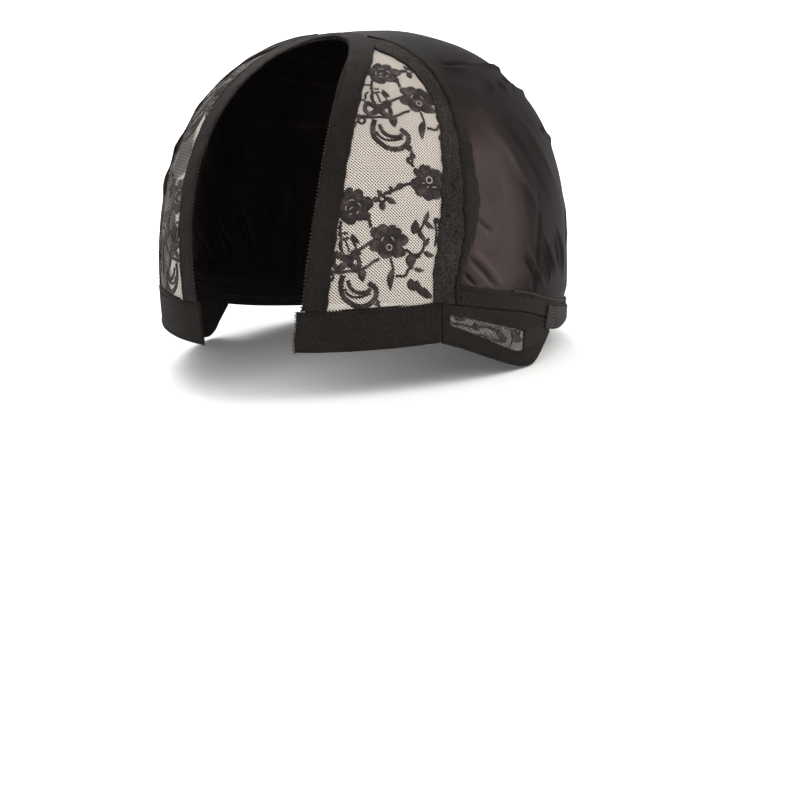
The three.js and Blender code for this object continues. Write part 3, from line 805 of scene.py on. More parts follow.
def crown_grid(columns, rows):
    """Points over the crown, closer together at its sides."""
    foot = arch_rear_share(height_at(back_line, arch_rear_bearing) + crown_corner)
    shares = np.linspace(foot, 0.96, 14)

    def front_line(distance):
        left = beside(arch_rear_line, shares, distance)
        middle = beside(slot_edge, 0.5, slot_band_width + distance)
        return smooth_line(np.vstack([left, middle, mirrored(left[::-1])]))

    back_foot = share_at_bearing(back_line, arch_rear_bearing) + crown_corner / run_of(back_line)[-1]
    turn = np.linspace(0, 2 * math.pi, columns + 1)
    round_shares = (turn - 0.45 * np.sin(turn)) / (2 * math.pi)
    back_shares = back_foot + round_shares * (1 - 2 * back_foot)
    front = seat(along(front_line(0.2), round_shares))
    back = beside(back_line, back_shares, -0.2)
    seen = between(front[:, None], back[:, None], np.linspace(0, 1, rows + 1)[None, :, None])
    hidden_front = seat(along(front_line(-underlap), round_shares))[:, None]
    hidden_back = beside(back_line, back_shares, underlap)[:, None]
    return np.concatenate([hidden_front, seen, hidden_back], 1)


crown_points = crown_grid(490, 90)
n, m = crown_points.shape[:2]
rim = np.minimum(
    np.minimum(np.arange(n)[:, None], n - 1 - np.arange(n)[:, None]),
    np.minimum(np.arange(m)[None, :], m - 1 - np.arange(m)[None, :]),
)
freed = np.clip((rim - 1) / 5, 0, 1)
creased = crease_heights(crown_points)
gathered = gather_heights(crown_points)
lift = freed * (fold_heights(crown_points) + creased + gathered)
lift += freed * 0.18 * swells(crown_points, 26)
crown_mesh = skin("crown_cloth", crown_points, lift, lift + cloth_top)
from_face = np.minimum(bearing_of(crown_points), 360 - bearing_of(crown_points))
height = crown_points[..., 2] - centre[2]
pull_and_shade_shares = [  # degrees from the face, how far the cloth is stretched and thinned there; the dip at 91 to 97 degrees is also a painted shade
    (0, 0.40),
    (60, 0.50),
    (68, 0.74),
    (80, 0.70),
    (86, 0.42),
    (91, 0.08),
    (97, 0.08),
    (106, 0.18),
    (118, 0.16),
    (135, 0.30),
    (180, 0.36),
]
pull_and_shade_at = np.interp(from_face, *np.array(pull_and_shade_shares).T)
thinned = np.clip((78 - height) / 26, 0, 1) * np.clip((height + 14) / 16, 0, 1)
pull_and_light = 0.12 + (pull_and_shade_at - 0.12) * thinned
# Painted highlight and shade: the crests of creases and gathers are coloured lighter and their hollows
# darker.
pull_and_light = np.clip(pull_and_light + 0.05 * swells(crown_points, 20, 31) + 0.22 * creased + 0.12 * gathered, 0, 1)
attribute = crown_mesh.attributes.new("pull_and_painted_light", "FLOAT", "POINT")
attribute.data.foreach_set("value", np.tile(pull_and_light.ravel(), 2))
crown_piece = piece("crown_cloth", crown_mesh, crown_cloth)


# %% [markdown]
# A band is a skin between two edges, with its own edges rounded over. Elastic that is sewn down
# is never quite flat or straight, so each band gets slight swells. The front hem keeps its cut
# ends, and the arch band is two strips side by side: the elastic tape along the lace, and the
# folded edge of the crown cloth behind it.

# %% A band between two edges
def band(
    name, start_line, end_line, distances, width, bottom, top, edge, seed=3, material=None, swell=0.0
):
    """A rounded band over rows of points: start_line and end_line are its two edges."""
    shares = (distances / width)[None, :, None]
    grid = between(start_line[:, None], end_line[:, None], shares)
    rise = rounded(distances, width, edge)[None, :]
    uneven = 0.10 * swells(grid, 7, seed) + 0.14 * swells(grid, 24, seed + 1)
    crown_end = np.exp(-(((grid - crown_end_middle) ** 2).sum(-1)) / crown_end_reach**2)
    lifted = crown_end_stand * crown_end + swell
    heights = bottom + (top - bottom) * (0.25 + 0.75 * rise) + uneven * rise + lifted
    return piece(name, skin(name, grid, bottom, heights), material or black_elastic)


band_bottom = 0.5
band_top = 1.35
edge_round = 0.55
crown_end_middle = beside(slot_edge, 0.5, slot_band_width / 2)
crown_end_reach = 22.0
crown_end_stand = 0.9


def level_ends(line, height):
    """A line's first and last points moved up or down the form to a height."""
    line = line.copy()
    for k in (0, -1):
        line[k] = at_bearing(bearing_of(line[k]), height)
    return line


slot_foot = slot_share_at(front_hem_width + butt_gap)
slot_shares = np.linspace(slot_foot, 1 - slot_foot, 361)
wander = 0.16 * np.sin(slot_shares * 230) + 0.16 * np.sin(slot_shares * 97 + 1)
band_foot = front_hem_top + butt_gap
slot_inner = level_ends(beside(slot_edge, slot_shares, wander), band_foot)
slot_outer = level_ends(beside(slot_edge, slot_shares, slot_band_width + wander), band_foot)
slot_stops = stops(slot_band_width, edge_round, 6)
slot_band = band(
    "slot_elastic", slot_inner, slot_outer, slot_stops, slot_band_width,
    band_bottom, band_top, edge_round,
)

# %% The arch band: tape and folded edge
arch_rows = np.linspace(0, 1, 150)


def arch_foot(across):
    """The arch band's lower end, which rests on the front hem and behind it on the ear tab."""
    bearing = arch_bearing + across * arch_foot_turn
    lower = np.minimum(band_foot, height_at(back_foot_line, bearing))
    on_hem = bearing < hem_rear_bearing + 0.6
    return at_bearing(bearing, np.where(on_hem, band_foot, lower))


def arch_line(across):
    """The line at a share of the way across the left arch band, from its foot to its head."""
    across = np.broadcast_to(across, arch_rows.shape)
    front, rear = along(arch_front_line, arch_rows), along(arch_rear_line, arch_rows)
    line = between(front, rear, across[:, None])
    tip = tip_front + (tip_rear - tip_front) * across
    head = beside(slot_edge, tip, slot_band_width + 0.1)
    middle_part = np.minimum(1, 8 * arch_rows * (1 - arch_rows))[:, None]
    sideways = unit(rear - front)
    wobble = 0.26 * np.sin(arch_rows * 118 + 3 * across) + 0.28 * np.sin(arch_rows * 47 + 5 * across)
    line = line + sideways * wobble[:, None] * middle_part
    near_foot = np.maximum(0, 1 - arch_rows / 0.25)[:, None] ** 2
    near_head = np.maximum(0, 1 - (1 - arch_rows) / 0.25)[:, None] ** 2
    line = line + (arch_foot(across) - line[0]) * near_foot + (head - line[-1]) * near_head
    return seat(line)


fold_share = 0.14 + 0.28 * np.sin(math.pi * np.clip(arch_rows * 1.05, 0, 1)) ** 1.2
tape_rear = 1 - fold_share
arch_width = 13.0


def both_sides(make):
    """Calls make for the left side with points as they are, and for the right with them mirrored."""
    return [make("left", lambda points: points), make("right", mirrored)]


right_lumps = [(51.0, 4.5, 1.0), (38.0, 5.5, 1.2), (66.0, 4.0, 0.5)]  # height, run, stand


def lumps_on(side, line):
    """Where the right arch band is pushed up into soft lumps, as rows for a band."""
    heights = line[:, 2] - centre[2]
    rise = sum(stand * np.exp(-(((heights - at) / run) ** 2)) for at, run, stand in right_lumps)
    return rise[:, None] if side == "right" else 0.0


def make_arch_tape(side, place):
    lines = place(arch_line(0)), place(arch_line(tape_rear))
    spread = stops(arch_width, 0.6, 7)
    return band(
        f"arch_tape_{side}", *lines, spread, arch_width, band_bottom, band_top, 0.6, 5,
        speckled_elastic, lumps_on(side, lines[0]),
    )


fold_bulges = [  # share up the arch band, run, how far the fold swells over the crown
    (0.30, 0.10, 0.12),
    (0.52, 0.06, 0.05),
    (0.14, 0.05, -0.05),
]


def make_arch_fold(side, place):
    bulge = sum(far * np.exp(-(((arch_rows - share) / run) ** 2)) for share, run, far in fold_bulges)
    lines = place(arch_line(tape_rear + 0.01)), place(arch_line(1.0 + bulge))
    width = 5.0
    spread = stops(width, 1.2, 3)
    return band(
        f"arch_fold_{side}", *lines, spread, width, band_bottom, band_top + 0.35, 1.2, 6,
        swell=lumps_on(side, lines[0]),
    )


arch_tapes = both_sides(make_arch_tape)
arch_folds = both_sides(make_arch_fold)

# %% [markdown]
# The hem below each lace panel is the widest elastic. It is cut off straight in the slot, and
# its cut end isn't bound, so it is a little ragged. It is eased on towards the arch band, which
# leaves small ruffles along its upper edge. Both are small waves added to one grid of points.

# %% The front hems
hem_overhang = 1.6
hem_ends = {}  # the raw end's line on each side, for its frayed threads


def make_front_hem(side, place):
    """The wide elastic below the lace, with its raw end in the slot."""
    distances = stops(front_hem_width, edge_round, 8)
    rows = np.linspace(0, 1, 90)
    start = np.array([beside(slot_edge, slot_share_at(d), -hem_overhang) for d in distances])
    ragged = 0.25 * np.sin(distances * 3.1) + 0.2 * np.sin(distances * 7.7 + 1)
    bearings = bearing_of(start) + ragged / 1.5
    bearing = bearings[None, :] + (hem_rear_bearing - bearings)[None, :] * rows[:, None]
    grid = place(at_bearing(bearing, np.broadcast_to(distances - front_hem_depth, bearing.shape)))
    rise = rounded(distances, front_hem_width, edge_round)[None, :]
    ease = np.exp(-(((rows - 0.86) / 0.12) ** 2))[:, None] * (distances / front_hem_width)[None, :]
    ruffle = 0.22 * ease * np.sin(rows * 150)[:, None]
    uneven = 0.12 * swells(grid, 16, 11)
    heights = band_bottom + (band_top - band_bottom) * (0.25 + 0.75 * rise) + (ruffle + uneven) * rise
    hem_ends[side] = smooth_line(grid[0, 1:-1], 6)
    mesh = skin("front_hem", grid, band_bottom, heights)
    return piece(f"front_hem_elastic_{side}", mesh, black_elastic)


front_hems = both_sides(make_front_hem)

# %% [markdown]
# The crown ends in a narrow elastic with a thin piping on its upper edge. The piping starts
# behind the ear, where the crown begins to be gathered. Both follow one line round the back,
# moved sideways over the form, so that they can't drift apart.

# %% The back band with its piping
back_foot = share_at_bearing(back_line, arch_rear_bearing)
back_shares = np.linspace(back_foot, 1 - back_foot, 301)


def back_line_at(distance):
    """A line round the back, with its ends on the arch bands' rear edges."""
    line = beside(back_line, back_shares, distance)
    high, low = height_at(back_line, arch_rear_bearing), height_at(back_foot_line, arch_rear_bearing)
    height = high + (low - high) * min(max(distance / back_band_width, 0), 1)
    end = beside(arch_rear_line, arch_rear_share(height), 0.15)
    line[0], line[-1] = end, mirrored(end)
    return line


back_stops = stops(back_band_width, edge_round, 5)
back_band = band(
    "back_elastic", back_line_at(0), back_line_at(back_band_width), back_stops, back_band_width,
    band_bottom, band_top, edge_round, 7,
)
piping_width = 1.1
piping_start = share_at_bearing(back_line, 79)
piping_shares = np.linspace(piping_start, 1 - piping_start, 261)
back_piping = band(
    "back_piping", beside(back_line, piping_shares, -0.5),
    beside(back_line, piping_shares, -0.5 + piping_width), stops(piping_width, 0.5, 1),
    piping_width, band_bottom, band_top + 0.25, 0.5, 8, strap_elastic,
)

# %% [markdown]
# Where two bands are butted together, a strip of cloth lies behind the joint and holds the
# stitches. Without it, light would show through the narrow gap between them. One strip lies
# behind the hem's upper edge, one behind the ear tab's, one where hem and tab meet, and one at
# the crown's lower front corner, where three edges come together.

# %% Strips behind the joints
strip_width = 4.6
strip_bottom, strip_top = 0.03, 0.44
strip_stops = stops(strip_width, 0.2, 2)
rear_strip_bearings = 53.8, 57.4  # before and behind the joint between hem and ear tab
corner_strip_rise = 3.2
corner_strip_top = 0.36


def strip_behind(name, upper, lower, top=strip_top):
    """A thin strip between two lines, just over the head and under the bands."""
    return band(name, upper, lower, strip_stops, strip_width, strip_bottom, top, 0.2, 9)


def make_strips(side, place):
    hem_bearing = np.linspace(bearing_of(slot_inner[0]) + 1, hem_rear_bearing + 1, 60)
    hem_lines = [place(at_bearing(hem_bearing, front_hem_top + rise)) for rise in (0.7, -3.9)]
    rear_shares = np.linspace(back_foot - 0.017, share_at_bearing(back_foot_line, 99), 60)
    tab_lines = [place(beside(back_line, rear_shares, back_band_width + drop)) for drop in (-2.2, 2.4)]
    upright = np.linspace(1.0, -front_hem_depth + 0.4, 30)
    rear_lines = [place(at_bearing(bearing, upright)) for bearing in rear_strip_bearings]
    corner_height = height_at(back_line, arch_rear_bearing)
    corner_shares = np.linspace(0, arch_rear_share(corner_height + corner_strip_rise), 24)
    corner_lines = [place(beside(arch_rear_line, corner_shares, distance)) for distance in (-3.0, 2.6)]
    return [
        strip_behind(f"hem_joint_strip_{side}", *hem_lines),
        strip_behind(f"tab_joint_strip_{side}", *tab_lines),
        strip_behind(f"rear_joint_strip_{side}", *rear_lines),
        strip_behind(f"corner_joint_strip_{side}", *corner_lines, corner_strip_top),
    ]


joint_strips = both_sides(make_strips)

# %% [markdown]
# An ear tab hangs below each side of the back band: a dark border round a small window of
# lace. The border is one ring of points between the tab's outline and the window's, so that it
# has no joints and its width can change from side to side.

# %% The ear tabs
tab_rear_bearing = 99.0
tab_depth = 35.5
tab_lower_edge = [  # share of the tab's turn, share of its depth below the widest level
    (0.00, 0.50),
    (0.12, 0.585),
    (0.34, 0.76),
    (0.54, 0.91),
    (0.66, 0.975),
    (0.76, 1.00),
    (0.83, 0.965),
    (0.90, 0.86),
    (1.00, 0.70),
]
window_front, window_rear = 0.055, 0.66
tab_front_bearing = hem_rear_bearing + 0.3
tab_head_line = line_below_back(back_band_width + butt_gap)
tab_lower = smooth_line([(turn, -drop * tab_depth) for turn, drop in tab_lower_edge])


def tab_bearing(turn):
    return tab_front_bearing + (tab_rear_bearing - tab_front_bearing) * turn


def tab_heights(turn):
    """Heights of the tab's head, its window's head and foot, and its own foot."""
    head = height_at(tab_head_line, tab_bearing(turn))
    foot = np.interp(turn, tab_lower[:, 0], tab_lower[:, 1])
    way = np.clip((turn - window_front) / (window_rear - window_front), 0, 1)
    way = way * way * (3 - 2 * way)
    return head, head - (4.2 + 2.8 * way), foot + (8.0 - 2.0 * way), foot


def make_tab_binding(side, place):
    """The tab's dark border: a closed ring round the lace window."""
    long_way, short_way = np.linspace(0, 1, 41)[:-1], np.linspace(0, 1, 15)[:-1]
    turn = np.concatenate([long_way, 0 * short_way + 1, 1 - long_way, 0 * short_way])
    down = np.concatenate([0 * long_way, short_way, 0 * long_way + 1, 1 - short_way])
    head, _, _, foot = tab_heights(turn)
    window_turn = window_front + (window_rear - window_front) * turn
    _, window_head, window_foot, _ = tab_heights(window_turn)
    rim = at_bearing(tab_bearing(turn), head + (foot - head) * down)
    window = at_bearing(tab_bearing(window_turn), window_head + (window_foot - window_head) * down)
    width = 8.0
    distances = stops(width, 0.9, 7)
    grid = place(between(rim[:, None], window[:, None], (distances / width)[None, :, None]))
    rise = rounded(distances, width, 0.9)[None, :]
    heights = band_bottom + (band_top - band_bottom) * (0.25 + 0.75 * rise)
    heights = heights + 0.18 * swells(grid, 18, 4) * rise
    mesh = skin("tab_binding", grid, band_bottom, heights, ring=True)
    return piece(f"tab_binding_{side}", mesh, black_elastic)


tab_bindings = both_sides(make_tab_binding)

# %% [markdown]
# A flat strap runs from tab to tab round the nape and pulls the cap tight. It lies on top of
# the back band at its ends. Behind them its lower edge tucks in under its own pull, which is
# a slope across the strap that fades in after each end.

# %% The nape strap
strap_width = 9.5
strap_drop = 2.5
strap_shares = np.linspace(share_at_bearing(back_line, 96), 1 - share_at_bearing(back_line, 96), 261)
strap_stops = stops(strap_width, 0.5, 6)
from_ends = np.minimum(strap_shares - strap_shares[0], strap_shares[-1] - strap_shares)
free_part = np.clip((from_ends - 0.012) / 0.02, 0, 1)[:, None]
tuck_in = -2.6 * free_part * np.clip((strap_stops - 4.8) / 4.7, 0, 1)[None, :] ** 2
strap = band(
    "strap_elastic", beside(back_line, strap_shares, strap_drop),
    beside(back_line, strap_shares, strap_drop + strap_width), strap_stops,
    strap_width, band_top + 0.05 + tuck_in, band_top + 0.95 + tuck_in, 0.5, 12, strap_elastic,
)
strap_run = run_of(beside(back_line, strap_shares, strap_drop))[-1]
print("strap runs", round(strap_run), "mm round the nape")


# %% [markdown]
# Lace is made flat and then stretched over the head, so it is drawn flat here too. A flat map
# has its middle at one point of the form, and keeps the true length and direction of every
# straight way out from there. The net is grown on the flat cloth, the flowers are charted on it,
# and both are then laid on the form.

# %% A flat map of part of the form
class FlatMap:
    """Turns points of the form into flat millimetres round a middle point, and back."""

    def __init__(self, bearing, height):
        self.axis = unit(at_bearing(bearing, height) - centre)
        self.up = unit(np.array([0, 0, 1.0]) - self.axis * self.axis[2])
        self.right = np.cross(self.up, self.axis)
        self.turns = np.radians(np.arange(0, 363, 3.0))
        self.bends = np.radians(np.arange(0, 86, 1.0))
        side = self.right * np.cos(self.turns)[:, None] + self.up * np.sin(self.turns)[:, None]
        rays = self.axis * np.cos(self.bends)[:, None] + side[:, None] * np.sin(self.bends)[:, None]
        steps = np.linalg.norm(np.diff(seat(rays * 50 + centre), axis=1), axis=-1)
        self.reach = np.pad(np.cumsum(steps, axis=1), ((0, 0), (1, 0)))
        self.lengths = np.arange(0, 110, 1.0)
        self.bend_at = np.array([np.interp(self.lengths, row, self.bends) for row in self.reach])

    def look_up(self, table, turn, place):
        i, j = turn / np.radians(3), np.clip(place, 0, table.shape[1] - 1.001)
        i0, j0 = np.floor(i).astype(int), np.floor(j).astype(int)
        a, b = i - i0, j - j0
        near = table[i0, j0] * (1 - b) + table[i0, j0 + 1] * b
        far = table[i0 + 1, j0] * (1 - b) + table[i0 + 1, j0 + 1] * b
        return near * (1 - a) + far * a

    def flatten(self, points):
        way = unit(points - centre)
        bend = np.degrees(np.arccos(np.clip(way @ self.axis, -1, 1)))
        turn = np.arctan2(way @ self.up, way @ self.right) % (2 * math.pi)
        length = self.look_up(self.reach, turn, bend)
        return np.stack([length * np.cos(turn), length * np.sin(turn)], -1)

    def lay(self, flat, lift, place):
        """Flat points laid on the form at a lift above it, on the side that place picks."""
        turn = np.arctan2(flat[..., 1], flat[..., 0]) % (2 * math.pi)
        bend = self.look_up(self.bend_at, turn, np.hypot(flat[..., 0], flat[..., 1]))[..., None]
        side = self.right * np.cos(turn)[..., None] + self.up * np.sin(turn)[..., None]
        points = place(seat((self.axis * np.cos(bend) + side * np.sin(bend)) * 50 + centre))
        return points + outward(points) * np.asarray(lift)[..., None]


panel_map = FlatMap(38, 42)
tab_map = FlatMap(72, -20)
print("slot band's foot on the flat map:", panel_map.flatten(slot_outer[0]).round(1))

# %% [markdown]
# The net is two crossed sets of fine yarns. Geometry Nodes draw one set as rows of points, with
# every second point a little high, so that the yarns pass over and under each other. The second
# set is the first one turned by a right angle. Points that miss the cut cloth are deleted, and
# what is left becomes flat tubes, because stretched net yarn lies flat on the head. Doing this
# by nodes keeps the pitch and the yarn's thickness as inputs, which are easy to try out.

# %% Helpers for Geometry Nodes
def node_tree(name, sizes):
    """An empty tree with a geometry in and out, and named inputs with their kinds."""
    tree = bpy.data.node_groups.new(name, "GeometryNodeTree")
    tree.interface.new_socket("Geometry", in_out="INPUT", socket_type="NodeSocketGeometry")
    for label, kind in sizes.items():
        tree.interface.new_socket(label, in_out="INPUT", socket_type=f"NodeSocket{kind}")
    tree.interface.new_socket("Geometry", in_out="OUTPUT", socket_type="NodeSocketGeometry")
    return tree, add(tree, "NodeGroupInput").outputs, add(tree, "NodeGroupOutput").inputs[0]


def vector(tree, x=0.0, y=0.0, z=0.0):
    return add(tree, "ShaderNodeCombineXYZ", X=x, Y=y, Z=z).outputs[0]


def parity(tree, value):
    """-1 and 1 in turn, for even and odd values."""
    odd = maths(tree, "FLOORED_MODULO", value, 2.0)
    return maths(tree, "MULTIPLY_ADD", odd, 2.0, -1.0)


def grown(name, base, tree, material, sizes):
    """The plain mesh that a tree grows on a base mesh, in an object of its own."""
    made = bpy.data.objects.new(name, base)
    scene.collection.objects.link(made)
    modifier = made.modifiers.new("grow", "NODES")
    modifier.node_group = tree
    inputs = [item for item in tree.interface.items_tree if item.in_out == "INPUT"]
    sockets = {item.name: item.identifier for item in inputs}
    for label, value in {**sizes, "Material": material}.items():
        modifier[sockets[label]] = value
    evaluated = made.evaluated_get(bpy.context.evaluated_depsgraph_get())
    mesh = bpy.data.meshes.new_from_object(evaluated)
    made.modifiers.clear()
    made.data = mesh
    mesh.calc_loop_triangles()
    print(f"{name}: {len(mesh.loop_triangles)} triangles")
    return made


# %% The net's tree
yarn_flatness = 0.35  # a yarn's height as a share of its breadth


def net_tree():
    tree, given, out = node_tree(
        "net",
        {
            "Pitch": "Float",
            "Span": "Float",
            "Main Yarn": "Float",
            "Cross Yarn": "Float",
            "Weave": "Float",
            "Lean": "Float",
            "Material": "Material",
        },
    )
    double_pitch = maths(tree, "MULTIPLY", given["Pitch"], 2.0)
    half = maths(tree, "ROUND", maths(tree, "DIVIDE", given["Span"], double_pitch))
    count = maths(tree, "MULTIPLY_ADD", half, 2.0, 1.0)
    start = maths(tree, "MULTIPLY", half, maths(tree, "MULTIPLY", given["Pitch"], -1.0))
    one = add(
        tree, "GeometryNodeMeshLine", Count=count,
        Start_Location=vector(tree, x=start), Offset=vector(tree, x=given["Pitch"]),
    )
    rows = add(
        tree, "GeometryNodeMeshLine", Count=count,
        Start_Location=vector(tree, y=start), Offset=vector(tree, y=given["Pitch"]),
    )
    spread = add(tree, "GeometryNodeInstanceOnPoints", Points=rows.outputs[0], Instance=one.outputs[0])
    yarns = add(tree, "GeometryNodeRealizeInstances", Geometry=spread.outputs[0])
    index = add(tree, "GeometryNodeInputIndex").outputs[0]
    row = maths(tree, "FLOOR", maths(tree, "DIVIDE", index, count))
    step = parity(tree, maths(tree, "ADD", maths(tree, "FLOORED_MODULO", index, count), row))
    joined = add(tree, "GeometryNodeJoinGeometry")
    for way, yarn, quarter in ((1.0, "Main Yarn", 0.0), (-1.0, "Cross Yarn", math.pi / 2)):
        rise = maths(tree, "MULTIPLY", maths(tree, "MULTIPLY", given["Weave"], way), step)
        woven = add(
            tree, "GeometryNodeSetPosition", Geometry=yarns.outputs[0], Offset=vector(tree, z=rise)
        )
        turn = vector(tree, z=maths(tree, "ADD", given["Lean"], quarter))
        turned = add(tree, "GeometryNodeTransform", Geometry=woven.outputs[0], Rotation=turn)
        here = add(tree, "GeometryNodeInputPosition").outputs[0]
        above = add(tree, "ShaderNodeVectorMath", {"operation": "ADD"}, i0=here, i1=(0, 0, 0.01))
        hit = add(
            tree, "GeometryNodeRaycast", Target_Geometry=given["Geometry"],
            Source_Position=above.outputs[0], Ray_Direction=(0, 0, -1), Ray_Length=0.02,
        )
        missed = add(tree, "FunctionNodeBooleanMath", {"operation": "NOT"}, i0=hit.outputs["Is Hit"])
        cut = add(
            tree, "GeometryNodeDeleteGeometry", Geometry=turned.outputs[0], Selection=missed.outputs[0]
        )
        loose = add(tree, "GeometryNodeMeshToCurve", Mesh=cut.outputs[0])
        curve = add(tree, "GeometryNodeSetCurveNormal", {"mode": "Z_UP"}, Curve=loose.outputs[0])
        radius = maths(tree, "MULTIPLY", given[yarn], 0.5)
        circle = add(tree, "GeometryNodeCurvePrimitiveCircle", Resolution=4, Radius=radius)
        section = add(
            tree, "GeometryNodeTransform", Geometry=circle.outputs[0],
            Scale=(1.0, yarn_flatness, 1.0),
        )
        tube = add(
            tree, "GeometryNodeCurveToMesh", Curve=curve.outputs[0],
            Profile_Curve=section.outputs[0], Fill_Caps=True,
        )
        tree.links.new(tube.outputs[0], joined.inputs[0])
    smooth = add(tree, "GeometryNodeSetShadeSmooth", Geometry=joined.outputs[0])
    painted = add(
        tree, "GeometryNodeSetMaterial", Geometry=smooth.outputs[0], Material=given["Material"]
    )
    tree.links.new(painted.outputs[0], out)
    return tree


net = net_tree()
net_drift = 0.22  # how far the yarns of stretched net wander


def laid_net(name, flat_map, outline_rows, yarn, place, sizes, lift):
    """A net grown on a flat cut of cloth and laid on the form."""
    n, m = outline_rows.shape[:2]
    flat = np.concatenate([outline_rows, np.zeros((n, m, 1))], -1).reshape(-1, 3) * MM
    faces = [(i * m + j, i * m + j + 1, (i + 1) * m + j + 1, (i + 1) * m + j)
             for i in range(n - 1) for j in range(m - 1)]
    cut = bpy.data.meshes.new("cut")
    cut.from_pydata(flat.tolist(), [], faces)
    made = grown(name, cut, net, yarn, sizes)
    drawn = np.empty(len(made.data.vertices) * 3)
    made.data.vertices.foreach_get("co", drawn)
    drawn = drawn.reshape(-1, 3) / MM
    drift = np.stack([swells(drawn, 11, 21), swells(drawn, 11, 22)], -1) * net_drift
    points = flat_map.lay(drawn[:, :2] + drift, lift + drawn[:, 2], place)
    made.data.vertices.foreach_set("co", (points * MM).ravel())
    if place is mirrored:
        made.data.flip_normals()
    made.data.update()
    return made


# %% [markdown]
# Each panel is one flat cut of net, which reaches under the slot band and the arch band. On the
# wearer's right side most of the panel's net is darkened by a painted shade. How far the pale net
# reaches from the slot band before that shade starts changes with the height, so a short table
# gives it, and the mesh carries the shade to the material as an attribute.

# %% The lace panels' net
def panel_outline():
    """Rows of flat points from the slot band's underlap to the arch band's."""
    rows = np.linspace(0, 1, 60)
    foot = slot_share_at(front_hem_width - 3)
    front = beside(slot_edge, foot + (tip_front - foot) * rows, slot_band_width - 3)
    rear = beside(arch_front_line, rows, 3)
    rear[0] = at_bearing(hem_rear_bearing - 1, front_hem_top - 3)
    across = np.array([0, 0.5, 1])[None, :, None]
    return panel_map.flatten(between(front[:, None], rear[:, None], across))


panel_rows = panel_outline()
panel_sizes = {
    "Pitch": 0.90 * MM,
    "Span": 150 * MM,
    "Main Yarn": 0.76 * MM,
    "Cross Yarn": 0.50 * MM,
    "Weave": 0.07 * MM,
    "Lean": math.radians(-42),
}


pale_reach = [  # height, degrees from the slot band's edge to where the painted shade on the right net begins
    (-4, 9.5),
    (6, 8),
    (13, 6.5),
    (17, 4.5),
    (21, 0.5),
    (26, 2.5),
    (34, 5),
    (38, 7.5),
    (44, 6.5),
    (48, 0.5),
    (55, 0.5),
    (59, 3.5),
    (65, 6),
    (71, 5),
    (76, 0.5),
]


def painted_shade_share(points):
    """From 0 where the net keeps its pale colour to 1 where a painted shade darkens it."""
    edge = slot_outer[:180]
    from_face = 360 - bearing_of(points)
    from_slot = from_face - np.interp(points[..., 2], edge[:, 2], bearing_of(edge))
    height = points[..., 2] - centre[2] + 1.5 * swells(points, 9, 41)
    reach = np.interp(height, *np.array(pale_reach).T) + 0.8 * swells(points, 5, 42)
    return np.clip((from_slot - reach) / 2.4, 0, 1) * (0.86 + 0.14 * swells(points, 12, 43))


def make_panel_net(side, place):
    made = laid_net(f"lace_net_{side}", panel_map, panel_rows, net_yarn, place, panel_sizes, 0.28)
    points = np.empty(len(made.data.vertices) * 3)
    made.data.vertices.foreach_get("co", points)
    # The painted shade is put on the right panel's net only.
    painted_shade = painted_shade_share(points.reshape(-1, 3) / MM) * (side == "right")
    made.data.attributes.new("painted_shade", "FLOAT", "POINT").data.foreach_set("value", painted_shade)
    return made


panel_nets = both_sides(make_panel_net)


# %% The ear tabs' net
def tab_outline():
    turn = np.linspace(window_front - 0.03, window_rear + 0.04, 24)
    _, head, foot, _ = tab_heights(turn)
    share = np.array([0, 0.5, 1])[None, :]
    heights = (head + 1.5)[:, None] * (1 - share) + (foot - 1.5)[:, None] * share
    return tab_map.flatten(at_bearing(tab_bearing(turn)[:, None], heights))


tab_rows = tab_outline()
tab_sizes = {
    **panel_sizes,
    "Span": 60 * MM,
    "Pitch": 1.3 * MM,
    "Main Yarn": 0.68 * MM,
    "Cross Yarn": 0.40 * MM,
}


def make_tab_net(side, place):
    return laid_net(f"tab_net_{side}", tab_map, tab_rows, tab_net_yarn, place, tab_sizes, 0.28)


tab_nets = both_sides(make_tab_net)

# %% [markdown]
# The flowers are a common lace floral: rosettes with scalloped edges, leaves, stems, small open
# loops, a bow and a crescent, which repeat up the panel. They are charted in millimetres on the
# flat map. A rosette is a disc of rings with a reach at every turn, a leaf or stem is a strip with
# a width along it, and each is a thin raised skin, because the filling yarn of lace stands above
# its net. Small openings in the filling are drawn as paler marks on it.

# %% Chart of the rosettes
repeat = np.array([15.1, 61.0])
rosettes = [  # middle, then its outline: turn in degrees and reach of each petal and notch
    (
        (21.9, 6.3),
        [
            (0, 7.6), (16, 6.4), (30, 7.9), (48, 7.9), (60, 7.0), (74, 6.4), (88, 7.3), (96, 7.0),
            (106, 7.6), (117, 7.1), (129, 6.4), (136, 7.7), (147, 7.3), (156, 5.0), (168, 5.6),
            (180, 7.2), (190, 7.7), (198, 7.2), (211, 6.4), (224, 7.0), (240, 6.8), (251, 6.0),
            (263, 6.8), (277, 7.2), (292, 6.7), (302, 7.3), (314, 7.8), (330, 6.6), (344, 7.9),
        ],
    ),
    (
        (-7.9, -4.9),
        [
            (14, 7.6), (28, 7.3), (42, 5.8), (51, 5.3), (62, 6.8), (74, 7.1), (92, 6.0), (104, 7.7),
            (122, 7.0), (140, 6.0), (160, 7.6), (182, 7.4), (200, 6.0), (222, 7.1), (245, 7.1),
            (264, 6.6), (277, 4.6), (289, 5.6), (303, 5.8), (318, 7.2), (332, 6.9), (341, 4.9),
            (352, 5.8),
        ],
    ),
    (
        (5.0, -17.8),
        [
            (5, 8.5), (27, 6.2), (40, 7.0), (56, 6.1), (67, 6.6), (93, 5.5), (115, 7.1), (129, 6.7),
            (148, 8.4), (172, 6.0), (200, 8.2), (221, 6.1), (250, 7.1), (280, 5.8), (303, 7.5),
            (324, 8.7), (339, 5.8),
        ],
    ),
]
light_rings = [  # middle, radius and width of a small ringed opening
    ((22.5, 7.5), 1.25, 0.75),
    ((5.0, -20.3), 1.1, 0.65),
]
